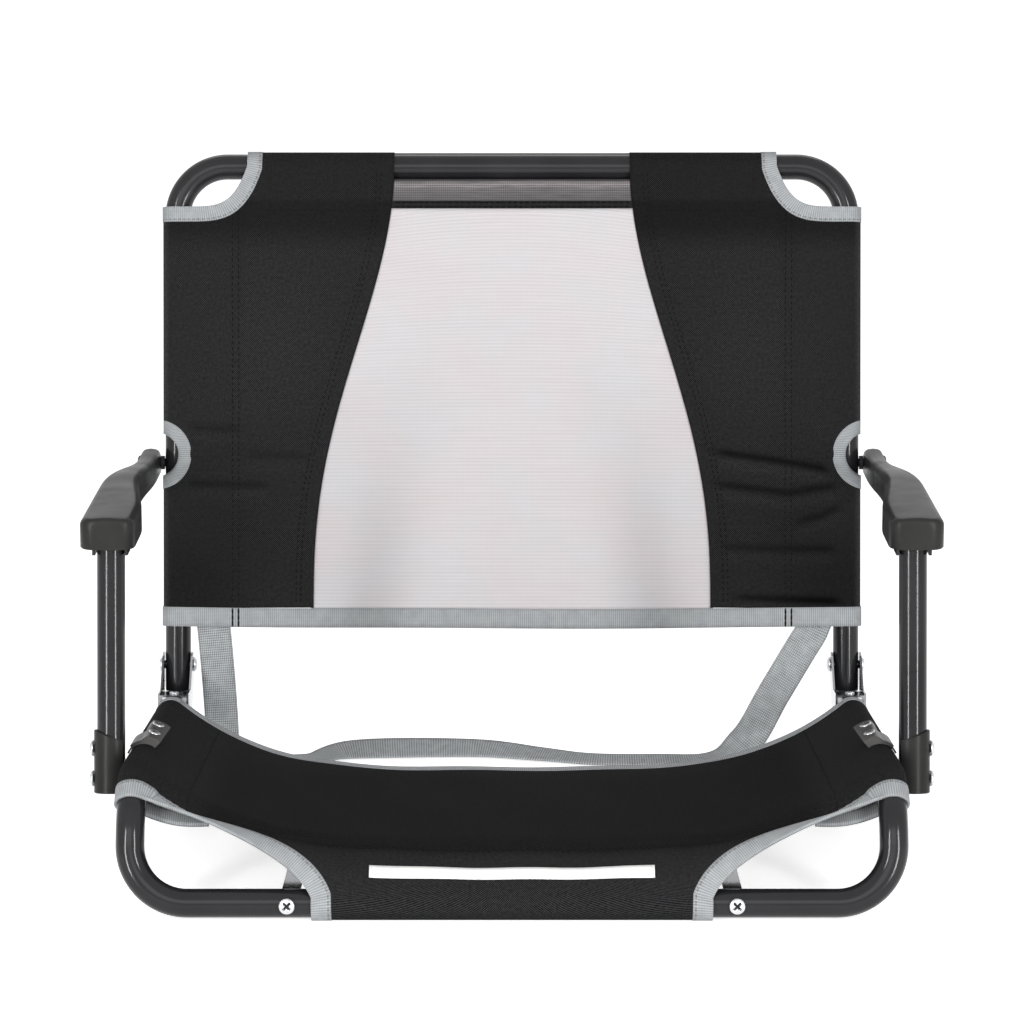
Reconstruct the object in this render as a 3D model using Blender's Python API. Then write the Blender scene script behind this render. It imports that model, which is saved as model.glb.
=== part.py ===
"""Folding stadium chair: steel tube seat and back frames, sewn slings, linked armrests, bench hook.

The pieces are drawn with the seat rails level, x across, y to the rear and z up. The stand empty then
leans them back until the front bar and the hanging seat touch the floor, as the chair rests by itself.
"""
import math

import bmesh
import bpy
from mathutils import Matrix, Vector

# Frame tubes, in metres
TUBE_RADIUS = 0.0095
TUBE_SIDES = 16
RAIL_HALF_SPACING = 0.2505
CORNER_RADIUS = 0.0375
BEND_STEP = math.radians(12)

# Seat frame
RAIL_HEIGHT = 0.088
RAIL_REAR_Y = 0.170
LOOP_BEND_Y = -0.180
LOOP_BEND_RADIUS = 0.048
LOOP_LEAN = math.radians(10)

# Back frame, measured along the back from its hinge pin
BACK_RECLINE = math.radians(5)
BACK_LENGTH = 0.373
BACK_TAIL = 0.020
BACK_PIVOT_RISE = 0.028
BACK_STOP_GAP = 0.0006

# Fabric
FABRIC_WALL = 0.0012
FIT_GAP = 0.0003
WRAP_RADIUS = TUBE_RADIUS + FIT_GAP + FABRIC_WALL / 2
WRAP_OUTER = WRAP_RADIUS + FABRIC_WALL / 2
WRAP_STEP = math.radians(15)

# Seat sling
SLING_REAR_Y = 0.128
SLING_SLEEVE_TURN = math.radians(320 / 7)
SLING_TURN_SHARE = 0.3
SLING_SAG = 0.050
SLING_SAG_POWER = 4
SLING_FRONT_POWER = 2.4
SLING_BAR_HALF_WIDTH = 0.1305
SLING_CUT_ONE = (0.1867, -0.1875, 0.0618)
SLING_CUT_TWO = (0.1403, -0.1990, 0.0407)
SLING_LEVEL_HANDLE = 0.028
SLING_ROLL_HANDLE = 0.030
SLING_BAR_START = math.radians(60)
SLING_BAR_END = math.radians(300)
SLING_WRAP_START = math.radians(195)

# Back panels and mesh, heights measured along the back from the hinge pin
HEM_BOTTOM = 0.029
HEM_HEIGHT = 0.0135
HEM_WALL = 0.0022
PANEL_SIDE_TOP = 0.342
PANEL_TOP_HALF_WIDTH = 0.197
PANEL_CORNER_POWER = 5
PANEL_BELLY = 0.008
MESH_TOP_HALF_WIDTH = 0.088
MESH_BOTTOM_HALF_WIDTH = 0.1485
MESH_EDGE_POWER = 1.4
SEAM_GAP = 0.0006
ELBOW_NOTCH_RADIUS = 0.0172
ELBOW_NOTCH_OFFSET = 0.0155
ELBOW_NOTCH_RISE = 0.006

# Sheet metal hinge on each rail end
PLATE_WALL = 0.0015
EAR_GAP = 0.0004
EAR_LENGTH = 0.036
EAR_DROP = 0.004
EAR_BOSS_RADIUS = 0.0095
WEB_LENGTH = 0.022

# Pins and screws
PIN_RADIUS = 0.003
PIN_CLEARANCE = 0.0003
HEAD_RADIUS = 0.0055
HEAD_HEIGHT = 0.0028
SCREW_RADIUS = 0.002
TURNED_SIDES = 16

# Armrest linkage: post foot on the rail, armrest bolt on the back
POST_PIVOT_Y = -0.100
LINK_LENGTH = 0.1515
POST_GAP = 0.002
SADDLE_WALL = 0.0025
SADDLE_FRONT_Y = -0.088
SADDLE_REAR_Y = -0.048
SADDLE_BLOCK_FRONT = 0.003
SADDLE_BLOCK_REAR = 0.0085
SADDLE_LOW = math.radians(44)
SADDLE_HIGH = math.radians(-42)
SADDLE_BLOCK_START = math.radians(12)
STUD_REACH = 0.006
SOCKET_WALL = 0.0018
SOCKET_HALF_ANGLE = math.radians(138)
SOCKET_BOTTOM = 0.020
SOCKET_TOP = 0.019
SOCKET_TOP_SLANT = 0.004
POST_SCREW_SPACING = 0.0204
POST_SCREW_REACH = 0.006
POST_END = 0.005

# Armrest, measured from its front end
ARM_FRONT_OVERHANG = 0.030
ARM_REAR_OVERHANG = 0.010
ARM_HALF_WIDTH = 0.0185
ARM_OUTER_REAR = 0.0065
ARM_INNER_REAR = 0.0075
ARM_OUTER_TAPER = (0.130, 0.275)
ARM_INNER_TAPER = (0.045, 0.160)
ARM_END_RADIUS = 0.010
ARM_TOP_FRONT = 0.020
ARM_TOP_REAR = 0.010
ARM_BOTTOM_FRONT = -0.001
ARM_BOTTOM_REAR = -0.009
ARM_DROP = (0.150, 0.290)
ARM_EDGE_RADIUS = 0.005
ARM_SKIRT_WALL = 0.003
ARM_TOP_WALL = 0.004
ARM_CAVITY_END = 0.215
ARM_STATIONS = 22
CLEVIS_WALL = 0.002
CLEVIS_GAP = 0.0005
CLEVIS_HALF_LENGTH = 0.009
CLEVIS_DROP = 0.009

# Bench hooks: bent steel strips that turn on the front bar's screws, stowed upwards under the seat
HOOK_HALF_SPACING = 0.147
HOOK_LEAN = math.radians(15)
HOOK_WIDTH = 0.012
HOOK_WALL = 0.003
HOOK_EYE_RADIUS = 0.0078
HOOK_HEIGHT = 0.028
HOOK_FOOT = 0.036
HOOK_BEND_RADIUS = 0.006

# Carrying strap: x, y and height of its middle line on the floor, and how flat its width lies
STRAP_WIDTH = 0.025
STRAP_WALL = 0.0015
STRAP_STEPS = 4
STRAP_ROUTE = (
    (-0.2240, 0.1522, 0.0994, 0.00),
    (-0.2225, 0.1490, 0.0840, 0.00),
    (-0.2205, 0.1488, 0.0560, 0.00),
    (-0.2190, 0.1480, 0.0300, 0.00),
    (-0.2180, 0.1440, 0.0120, 0.30),
    (-0.2170, 0.1330, 0.0030, 1.00),
    (-0.2140, 0.1190, 0.0016, 1.00),
    (-0.2040, 0.1090, 0.0016, 1.00),
    (-0.1850, 0.1060, 0.0016, 1.00),
    (-0.1500, 0.1070, 0.0018, 1.00),
    (-0.1180, 0.1190, 0.0058, 0.72),
    (-0.0300, 0.1230, 0.0056, 0.73),
    (0.0200, 0.1140, 0.0038, 0.85),
    (0.0600, 0.1075, 0.0018, 1.00),
    (0.1100, 0.1065, 0.0016, 1.00),
    (0.1480, 0.1090, 0.0020, 1.00),
    (0.1740, 0.1195, 0.0120, 0.40),
    (0.1955, 0.1345, 0.0440, 0.00),
    (0.2150, 0.1460, 0.0740, 0.00),
    (0.2240, 0.1503, 0.0880, 0.00),
    (0.2285, 0.1534, 0.0990, 0.00),
)

SIDES = (("left", -1), ("right", 1))


# Places worked out from the sizes above
FRONT_BAR_Z = WRAP_OUTER
FRONT_BAR_Y = LOOP_BEND_Y - (RAIL_HEIGHT - FRONT_BAR_Z) * math.tan(LOOP_LEAN)
FRONT_BAR = Vector((0, FRONT_BAR_Y, FRONT_BAR_Z))
BACK_PIVOT = Vector((
    0,
    RAIL_REAR_Y + BACK_STOP_GAP + TUBE_RADIUS / math.cos(BACK_RECLINE) + BACK_TAIL * math.sin(BACK_RECLINE),
    RAIL_HEIGHT + BACK_PIVOT_RISE,
))
POST_PIVOT = Vector((0, POST_PIVOT_Y, RAIL_HEIGHT))
LINK = Vector((0, math.sin(BACK_RECLINE), math.cos(BACK_RECLINE))) * LINK_LENGTH
ARM_PIVOT = BACK_PIVOT + LINK
ARM_LINE = BACK_PIVOT - POST_PIVOT
ARM_LINK = ARM_LINE.length
ARM_SLOPE = math.atan2(ARM_LINE.z, ARM_LINE.y)
SADDLE_INNER = WRAP_OUTER + FIT_GAP
SADDLE_OUTER = SADDLE_INNER + SADDLE_WALL
SOCKET_INNER = TUBE_RADIUS + FIT_GAP
SOCKET_OUTER = SOCKET_INNER + SOCKET_WALL
POST_X = RAIL_HALF_SPACING + 2 * TUBE_RADIUS + POST_GAP
ARM_LENGTH = ARM_FRONT_OVERHANG + ARM_LINK + ARM_REAR_OVERHANG


def lerp(start, end, share):
    """The value a share of the way from start to end."""
    return start + (end - start) * share


def smooth(value, low, high):
    """0 below low, 1 above high, and an even S curve between."""
    share = min(max((value - low) / (high - low), 0.0), 1.0)
    return share * share * (3 - 2 * share)


def spread(start, end, count):
    """Evenly spaced values from start to end, both included."""
    return [lerp(start, end, index / (count - 1)) for index in range(count)]


def spread_angle(start, end):
    """Angles from start to end, no more than one wrap step apart."""
    return spread(start, end, math.ceil(abs(end - start) / WRAP_STEP) + 1)


def clear_scene():
    """Remove every object."""
    for item in list(bpy.data.objects):
        bpy.data.objects.remove(item, do_unlink=True)


def empty(name, parent, place, turn):
    """An empty on a joint's axis that carries the pieces of one body."""
    item = bpy.data.objects.new(name, None)
    bpy.context.scene.collection.objects.link(item)
    item.parent = parent
    item.location = place
    item.rotation_euler = turn
    return item


FINISHES = {
    "black_steel": ((0.030, 0.031, 0.034, 1), 0.32, 0.6),
    "zinc": ((0.72, 0.73, 0.75, 1), 0.25, 1.0),
    "black_fabric": ((0.012, 0.012, 0.013, 1), 0.9, 0.0),
    "white_mesh": ((0.78, 0.76, 0.77, 1), 0.8, 0.0),
    "grey_webbing": ((0.33, 0.35, 0.37, 1), 0.85, 0.0),
    "grey_plastic": ((0.060, 0.058, 0.056, 1), 0.45, 0.0),
}


def finish(name, kind):
    """A Principled material of one of the finishes, for one piece."""
    colour, roughness, metallic = FINISHES[kind]
    material = bpy.data.materials.new(name)
    material.use_nodes = True
    shader = material.node_tree.nodes["Principled BSDF"]
    shader.inputs["Base Color"].default_value = colour
    shader.inputs["Roughness"].default_value = roughness
    shader.inputs["Metallic"].default_value = metallic
    return material


def piece(name, shape, parent, kind):
    """An object from a bmesh, with its own material, carried by an empty."""
    bmesh.ops.recalc_face_normals(shape, faces=shape.faces)
    mesh = bpy.data.meshes.new(name)
    shape.to_mesh(mesh)
    shape.free()
    mesh.shade_smooth()
    mesh.set_sharp_from_angle(angle=math.radians(40))
    item = bpy.data.objects.new(name, mesh)
    bpy.context.scene.collection.objects.link(item)
    item.parent = parent
    if kind:
        mesh.materials.append(finish(name, kind))
    return item


def tool(name, shape, parent):
    """A hidden object that a Boolean uses."""
    item = piece(name, shape, parent, None)
    item.hide_render = True
    item.display_type = "WIRE"
    return item


def combine(item, other, operation):
    """Cut the other object from the item, or join it to the item."""
    change = item.modifiers.new(operation.lower(), "BOOLEAN")
    change.operation = operation
    change.solver = "EXACT"
    change.object = other


def bent_path(corners, radii):
    """The corner points joined by straight runs, with an arc of the given radius at each inner corner."""
    path = [corners[0]]
    for before, corner, after, radius in zip(corners, corners[1:], corners[2:], radii):
        back, ahead = (before - corner).normalized(), (after - corner).normalized()
        half = back.angle(ahead) / 2
        start = corner + back * (radius / math.tan(half))
        centre = corner + (back + ahead).normalized() * (radius / math.sin(half))
        turn = math.pi - 2 * half
        axis = back.cross(ahead)
        steps = math.ceil(turn / BEND_STEP)
        for step in range(steps + 1):
            rotation = Matrix.Rotation(-turn * step / steps, 3, axis)
            path.append(centre + rotation @ (start - centre))
    path.append(corners[-1])
    return path


def rings_along(path, radius):
    """Circles square to a path, carried along it without twist."""
    tangents = [(after - before).normalized() for before, after in zip(path, path[1:])]
    mitres = [tangents[0]]
    mitres += [(one + two).normalized() for one, two in zip(tangents, tangents[1:])]
    mitres.append(tangents[-1])
    normal = mitres[0].orthogonal().normalized()
    rings = []
    for index, point in enumerate(path):
        if index:
            normal = mitres[index - 1].rotation_difference(mitres[index]) @ normal
        across = mitres[index].cross(normal)
        angles = [2 * math.pi * side / TUBE_SIDES for side in range(TUBE_SIDES)]
        rings.append([point + radius * (math.cos(a) * normal + math.sin(a) * across) for a in angles])
    return rings


def loft(rings):
    """A closed solid through rings of equal count, with a flat face on each end."""
    shape = bmesh.new()
    loops = [[shape.verts.new(point) for point in ring] for ring in rings]
    count = len(loops[0])
    for one, two in zip(loops, loops[1:]):
        for side in range(count):
            after = (side + 1) % count
            shape.faces.new((one[side], one[after], two[after], two[side]))
    shape.faces.new(reversed(loops[0]))
    shape.faces.new(loops[-1])
    return shape


def tube(path, radius=TUBE_RADIUS):
    """A round bar along a path."""
    return loft(rings_along(path, radius))


def turned(profile, start, axis):
    """A solid turned about an axis, from radius and height pairs that begin and end on the axis."""
    shape = bmesh.new()
    across = axis.orthogonal().normalized()
    other = axis.cross(across)
    loops = []
    for radius, height in profile:
        centre = start + axis * height
        if radius == 0:
            loops.append([shape.verts.new(centre)])
            continue
        angles = [2 * math.pi * side / TURNED_SIDES for side in range(TURNED_SIDES)]
        ring = [centre + radius * (math.cos(a) * across + math.sin(a) * other) for a in angles]
        loops.append([shape.verts.new(point) for point in ring])
    for one, two in zip(loops, loops[1:]):
        for side in range(TURNED_SIDES):
            after = (side + 1) % TURNED_SIDES
            corners = [one[side % len(one)], one[after % len(one)], two[after % len(two)], two[side % len(two)]]
            shape.faces.new(list(dict.fromkeys(corners)))
    return shape


def rod(radius, start, end):
    """A plain round rod between two points."""
    axis = end - start
    return turned([(0, 0), (radius, 0), (radius, axis.length), (0, axis.length)], start, axis.normalized())


def dome(radius, height):
    """Profile of a rounded head, from its rim to its crown."""
    return [(radius, 0), (radius * 0.92, height * 0.45), (radius * 0.60, height * 0.85), (0, height)]


def headed_pin(start, end, radius):
    """A pin between two points with a rounded head past each end."""
    axis = end - start
    length = axis.length
    low = [(r, -h) for r, h in reversed(dome(HEAD_RADIUS, HEAD_HEIGHT))]
    high = [(r, length + h) for r, h in dome(HEAD_RADIUS, HEAD_HEIGHT)]
    return turned(low + [(radius, 0), (radius, length)] + high, start, axis.normalized())


def screw(seat, axis, radius, reach):
    """A screw with its head standing on a seat point and its shank reaching back along the axis."""
    profile = [(0, -reach), (radius, -reach), (radius, FIT_GAP)]
    profile += [(r, h + FIT_GAP) for r, h in dome(HEAD_RADIUS, HEAD_HEIGHT)]
    return turned(profile, seat, axis)


def plate(outline, depth):
    """A flat plate: an outline of points moved by the depth vector."""
    return loft([outline, [point + depth for point in outline]])


def sheet(name, rows, parent, kind, wall=FABRIC_WALL):
    """A cloth solid: rows of points, where a point missing at a row's ends is None, given an even wall."""
    shape = bmesh.new()
    grid = [[shape.verts.new(point) if point else None for point in row] for row in rows]
    for one, two in zip(grid, grid[1:]):
        for corners in zip(one, one[1:], two[1:], two):
            if all(corners):
                shape.faces.new(corners)
    loose = [vert for vert in shape.verts if not vert.link_faces]
    bmesh.ops.delete(shape, geom=loose, context="VERTS")
    item = piece(name, shape, parent, kind)
    thick = item.modifiers.new("wall", "SOLIDIFY")
    thick.thickness = wall
    thick.offset = 0
    thick.use_even_offset = True
    return item


def seat_frame(parent):
    """The bent seat tube: level rails that turn down into the front loop."""
    half = RAIL_HALF_SPACING
    corners = [
        Vector((-half, RAIL_REAR_Y, RAIL_HEIGHT)),
        Vector((-half, LOOP_BEND_Y, RAIL_HEIGHT)),
        Vector((-half, FRONT_BAR_Y, FRONT_BAR_Z)),
        Vector((half, FRONT_BAR_Y, FRONT_BAR_Z)),
        Vector((half, LOOP_BEND_Y, RAIL_HEIGHT)),
        Vector((half, RAIL_REAR_Y, RAIL_HEIGHT)),
    ]
    radii = (LOOP_BEND_RADIUS, CORNER_RADIUS, CORNER_RADIUS, LOOP_BEND_RADIUS)
    return piece("seat_frame", tube(bent_path(corners, radii)), parent, "black_steel")


def back_frame(parent):
    """The bent back tube, an upturned U that turns on its two lower ends."""
    half = RAIL_HALF_SPACING
    corners = [
        Vector((-half, 0, -BACK_TAIL)),
        Vector((-half, 0, BACK_LENGTH)),
        Vector((half, 0, BACK_LENGTH)),
        Vector((half, 0, -BACK_TAIL)),
    ]
    path = bent_path(corners, (CORNER_RADIUS, CORNER_RADIUS))
    return piece("back_frame", tube(path), parent, "black_steel")


def sling_edge():
    """Half width and height of the hanging sheet where it leaves the rail, tangent to the wrapped tube."""
    angle = 0.0
    for _ in range(20):
        half = RAIL_HALF_SPACING - WRAP_RADIUS * math.sin(angle)
        angle = math.atan(SLING_SAG_POWER * SLING_SAG / half)
    return half, RAIL_HEIGHT + WRAP_RADIUS * math.cos(angle), angle


def rail_turn():
    """Where the rail starts to turn down at its front, and the middle of that bend."""
    half = (math.pi / 2 - LOOP_LEAN) / 2
    start = LOOP_BEND_Y + LOOP_BEND_RADIUS * math.tan(half)
    return start, RAIL_HEIGHT - LOOP_BEND_RADIUS


def around_bend(side, angle, turn):
    """A point on the sleeve over the rail's bend: the angle goes round the tube, the turn along the bend."""
    start, middle = rail_turn()
    reach = LOOP_BEND_RADIUS + WRAP_RADIUS * math.cos(angle)
    x = side * (RAIL_HALF_SPACING + WRAP_RADIUS * math.sin(angle))
    return Vector((x, start - reach * math.sin(turn), middle + reach * math.cos(turn)))


def bezier(one, two, three, four, share):
    """A point on a cubic Bezier curve."""
    rest = 1 - share
    return rest**3 * one + 3 * rest**2 * share * two + 3 * rest * share**2 * three + share**3 * four


def sling_front(share, low, edge, angle):
    """Middle and edge of the seat's front: the edge stays on the sleeve's bend, then leaves it for the bar."""
    start = Vector((0, rail_turn()[0], edge - SLING_SAG))
    ahead = start - Vector((0, SLING_LEVEL_HANDLE, 0))
    above = low + SLING_ROLL_HANDLE * Vector((0, math.cos(SLING_BAR_START), math.sin(SLING_BAR_START)))
    middle = bezier(start, ahead, above, low, share)
    if share <= SLING_TURN_SHARE:
        return middle, around_bend(1, -angle, SLING_SLEEVE_TURN * share / SLING_TURN_SHARE)
    cut = (share - SLING_TURN_SHARE) / (1 - SLING_TURN_SHARE)
    leave = around_bend(1, -angle, SLING_SLEEVE_TURN)
    meet = low + Vector((SLING_BAR_HALF_WIDTH, 0, 0))
    return middle, bezier(leave, Vector(SLING_CUT_ONE), Vector(SLING_CUT_TWO), meet, cut)


def seat_sling(parent):
    """The seat cloth: sleeves round both rails and over their bends, a hanging seat and a sleeve on the front bar."""
    half, edge, angle = sling_edge()
    wrap = spread_angle(SLING_WRAP_START, -angle)[:-1]
    shares = spread(-1, 1, 17)
    rows = []
    for y in (SLING_REAR_Y, rail_turn()[0]):
        left, right = ([around_rail(side, a, WRAP_RADIUS, y) for a in wrap] for side in (-1, 1))
        hanging = [Vector((s * half, y, edge - SLING_SAG * (1 - abs(s)**SLING_SAG_POWER))) for s in shares]
        rows.append(left + hanging + right[::-1])
    bare = [None] * len(wrap)
    low = FRONT_BAR + WRAP_RADIUS * Vector((0, -math.sin(SLING_BAR_START), math.cos(SLING_BAR_START)))
    turned_shares = spread(0, SLING_TURN_SHARE, 5)[1:]
    for share in turned_shares + spread(SLING_TURN_SHARE, 1, 9)[1:]:
        middle, side_edge = sling_front(share, low, edge, angle)
        power = lerp(SLING_SAG_POWER, SLING_FRONT_POWER, share)
        front = []
        for s in shares:
            point = middle.lerp(side_edge, abs(s)**power)
            front.append(Vector((s * side_edge.x, point.y, point.z)))
        left = right = bare
        if share in turned_shares:
            turn = SLING_SLEEVE_TURN * share / SLING_TURN_SHARE
            left, right = ([around_bend(side, a, turn) for a in wrap] for side in (-1, 1))
        rows.append(left + front + right[::-1])
    for a in spread_angle(SLING_BAR_START, SLING_BAR_END)[1:]:
        ring = FRONT_BAR + WRAP_RADIUS * Vector((0, -math.sin(a), math.cos(a)))
        rows.append(bare + [Vector((s * SLING_BAR_HALF_WIDTH, ring.y, ring.z)) for s in shares] + bare)
    return sheet("seat_sling", rows, parent, "black_fabric")


def mesh_edge(height):
    """Half width of the back mesh at a height along the back."""
    share = smooth(height, HEM_BOTTOM + HEM_HEIGHT, BACK_LENGTH)**MESH_EDGE_POWER
    return lerp(MESH_BOTTOM_HALF_WIDTH, MESH_TOP_HALF_WIDTH, share)


def back_depth(x, height):
    """Depth of the back cloth: tangent to the tubes in front, with a slight belly to the rear between them."""
    rise = (height - HEM_BOTTOM) / (BACK_LENGTH - HEM_BOTTOM)
    hollow = (1 - (x / RAIL_HALF_SPACING)**2) * math.sin(math.pi * min(max(rise, 0), 1))
    return -WRAP_RADIUS + PANEL_BELLY * hollow


def side_wrap(side, radius):
    """Points in plan round a back tube, from its rear over its outside to just short of its front."""
    angles = spread_angle(math.radians(185), 0)[:-1]
    half = RAIL_HALF_SPACING
    return [(side * (half + radius * math.sin(a)), -radius * math.cos(a)) for a in angles]


def panel_top(x):
    """Height where a side panel ends: the top bar inside the corner cut, and the cut's curve outside it."""
    span = RAIL_HALF_SPACING - PANEL_TOP_HALF_WIDTH
    share = min(max((RAIL_HALF_SPACING - x) / span, 0), 1)
    return lerp(PANEL_SIDE_TOP, BACK_LENGTH, share**PANEL_CORNER_POWER)


def top_wrap():
    """Depth and rise of the cloth round the top bar, from just past its front over it to the rear."""
    angles = spread_angle(0, math.radians(200))[1:]
    return [(-WRAP_RADIUS * math.cos(a), BACK_LENGTH + WRAP_RADIUS * math.sin(a)) for a in angles]


def back_panel(label, side, parent):
    """One side panel: wrapped round the side tube and the top bar, with its inner edge along the mesh."""
    span = RAIL_HALF_SPACING - MESH_TOP_HALF_WIDTH
    corner = (RAIL_HALF_SPACING - PANEL_TOP_HALF_WIDTH) / span
    shares = spread(0, corner, 7) + spread(corner, 1, 7)[1:]
    tops = [panel_top(RAIL_HALF_SPACING - share * span) for share in shares]
    wrap = side_wrap(side, WRAP_RADIUS)
    low = HEM_BOTTOM + HEM_HEIGHT + FIT_GAP
    rows = []
    for rise in spread(0, 1, 12):
        around = [Vector((x, y, lerp(low, PANEL_SIDE_TOP, rise))) for x, y in wrap]
        flat = []
        for share, top in zip(shares, tops):
            height = lerp(low, top, rise)
            x = lerp(RAIL_HALF_SPACING, mesh_edge(height), share)
            flat.append(Vector((side * x, back_depth(x, height), height)))
        rows.append(around + flat)
    bare = [None] * (len(wrap) + shares.index(corner))
    held = rows[-1][len(bare):]
    for y, z in top_wrap():
        rows.append(bare + [Vector((point.x, y, z)) for point in held])
    item = sheet(f"back_panel_{label}", rows, parent, "black_fabric")
    centre = Vector((side * (RAIL_HALF_SPACING + ELBOW_NOTCH_OFFSET), 0, LINK_LENGTH + ELBOW_NOTCH_RISE))
    reach = Vector((0, 2 * CORNER_RADIUS, 0))
    notch = rod(ELBOW_NOTCH_RADIUS, centre - reach, centre + reach)
    combine(item, tool(f"cutter_elbow_{label}", notch, parent), "DIFFERENCE")
    return item


def back_mesh(parent):
    """The open mesh between the side panels, hung over the top bar."""
    low = HEM_BOTTOM + HEM_HEIGHT + FIT_GAP
    shares = spread(-1, 1, 13)
    rows = []
    for height in spread(low, BACK_LENGTH, 13):
        width = mesh_edge(height) - SEAM_GAP
        rows.append([Vector((s * width, back_depth(s * width, height), height)) for s in shares])
    for y, z in top_wrap():
        rows.append([Vector((point.x, y, z)) for point in rows[-1]])
    return sheet("back_mesh", rows, parent, "white_mesh")


def back_hem(parent):
    """The grey binding along the bottom of the back, round both side tubes."""
    radius = TUBE_RADIUS + FIT_GAP + HEM_WALL / 2
    half = RAIL_HALF_SPACING
    plan = side_wrap(-1, radius)
    plan += [(x, -radius) for x in spread(-half, half, 9)]
    plan += side_wrap(1, radius)[::-1]
    rows = [[Vector((x, y, z)) for x, y in plan] for z in spread(HEM_BOTTOM, HEM_BOTTOM + HEM_HEIGHT, 2)]
    return sheet("back_hem", rows, parent, "grey_webbing", HEM_WALL)


def hinge_bracket(label, side, parent):
    """The folded steel hinge on a rail's end: two ears beside the tubes, joined by a web on the rail."""
    front = RAIL_REAR_Y - EAR_LENGTH
    top = RAIL_HEIGHT + TUBE_RADIUS + EAR_GAP + PLATE_WALL
    outline = [(front, RAIL_HEIGHT - EAR_DROP), (RAIL_REAR_Y, RAIL_HEIGHT - EAR_DROP)]
    for a in spread(math.radians(-50), math.radians(130), 9):
        outline.append((
            BACK_PIVOT.y + EAR_BOSS_RADIUS * math.cos(a),
            BACK_PIVOT.z + EAR_BOSS_RADIUS * math.sin(a),
        ))
    outline += [(front + WEB_LENGTH, top + PLATE_WALL), (front, top + PLATE_WALL)]
    middle = side * RAIL_HALF_SPACING
    inner = TUBE_RADIUS + EAR_GAP
    ears = []
    for start in (-inner - PLATE_WALL, inner):
        points = [Vector((middle + start, y, z)) for y, z in outline]
        ears.append(plate(points, Vector((PLATE_WALL, 0, 0))))
    reach = inner + PLATE_WALL / 2
    corners = [(front, top - PLATE_WALL), (front + WEB_LENGTH, top - PLATE_WALL), (front + WEB_LENGTH, top), (front, top)]
    points = [Vector((middle - reach, y, z)) for y, z in corners]
    item = piece(f"hinge_bracket_{label}", plate(points, Vector((2 * reach, 0, 0))), parent, "zinc")
    for index, ear in enumerate(ears):
        combine(item, tool(f"ear_{label}_{index}", ear, parent), "UNION")
    return item


def bolt_line(side, inner, outer, y=0.0, z=0.0):
    """Two points on a line across the chair, at distances from its middle."""
    return Vector((side * inner, y, z)), Vector((side * outer, y, z))


def drill(name, items, parent, start, end, radius):
    """Cut a clearance hole for a pin through the items."""
    cutter = tool(name, rod(radius + PIN_CLEARANCE, start, end), parent)
    for item in items:
        combine(item, cutter, "DIFFERENCE")


def around_rail(side, angle, radius, y):
    """A point round a rail, where the angle turns outwards from its top."""
    x = side * (RAIL_HALF_SPACING + radius * math.sin(angle))
    return Vector((x, y, RAIL_HEIGHT + radius * math.cos(angle)))


def rail_saddle(label, side, parent):
    """The moulded clip over a rail's sleeve behind the post: a thin strap outside and a wedge on the inside."""
    angles = spread_angle(SADDLE_LOW, SADDLE_HIGH)
    rings = []
    for y, height in ((SADDLE_FRONT_Y, SADDLE_BLOCK_FRONT), (SADDLE_REAR_Y, SADDLE_BLOCK_REAR)):
        ring = [around_rail(side, a, SADDLE_INNER, y) for a in angles]
        for a in reversed(angles):
            block = height * smooth(-a, -SADDLE_BLOCK_START, SADDLE_BLOCK_START)
            ring.append(around_rail(side, a, SADDLE_OUTER + block, y))
        rings.append(ring)
    return piece(f"rail_saddle_{label}", loft(rings), parent, "grey_plastic")


def post_pin(label, side, parent, items):
    """The plain pin through a rail on which the post's foot turns, and its hole in the rail and sleeve."""
    inner = RAIL_HALF_SPACING - TUBE_RADIUS - FIT_GAP
    line = bolt_line(side, inner, POST_X - TUBE_RADIUS + STUD_REACH, POST_PIVOT_Y, RAIL_HEIGHT)
    drill(f"cutter_rail_{label}", items, parent, *line, PIN_RADIUS)
    return piece(f"post_pin_{label}", rod(PIN_RADIUS, *line), parent, "zinc")


def arm_post(label, side, parent):
    """The upright tube of an arm, drawn from its foot pivot."""
    path = [Vector((side * POST_X, 0, -SOCKET_BOTTOM)), Vector((side * POST_X, 0, LINK_LENGTH + POST_END))]
    return piece(f"arm_post_{label}", tube(path), parent, "black_steel")


def post_socket(label, side, parent):
    """The half sleeve round a post's foot, open to the rail, its rim higher on the outside."""
    angles = spread(-SOCKET_HALF_ANGLE, SOCKET_HALF_ANGLE, 19)
    section = [(SOCKET_OUTER, a) for a in angles] + [(SOCKET_INNER, a) for a in reversed(angles)]
    rings = []
    for level, slant in ((-SOCKET_BOTTOM, 0), (SOCKET_TOP, SOCKET_TOP_SLANT)):
        rings.append([
            Vector((side * (POST_X + r * math.cos(a)), r * math.sin(a), level + slant * math.cos(a)))
            for r, a in section
        ])
    return piece(f"post_socket_{label}", loft(rings), parent, "grey_plastic")


def post_screws(label, side, parent, items):
    """The two screws that hold a socket to its post, and their holes."""
    seat = POST_X + SOCKET_OUTER
    reach = SOCKET_WALL + FIT_GAP + POST_SCREW_REACH
    for level, z in (("lower", -POST_SCREW_SPACING / 2), ("upper", POST_SCREW_SPACING / 2)):
        shape = screw(Vector((side * seat, 0, z)), Vector((side, 0, 0)), SCREW_RADIUS, reach)
        piece(f"post_screw_{level}_{label}", shape, parent, "zinc")
        inner, outer = bolt_line(side, seat - reach - FIT_GAP, seat + HEAD_HEIGHT, 0, z)
        drill(f"cutter_post_screw_{level}_{label}", items, parent, inner, outer, SCREW_RADIUS)


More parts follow.
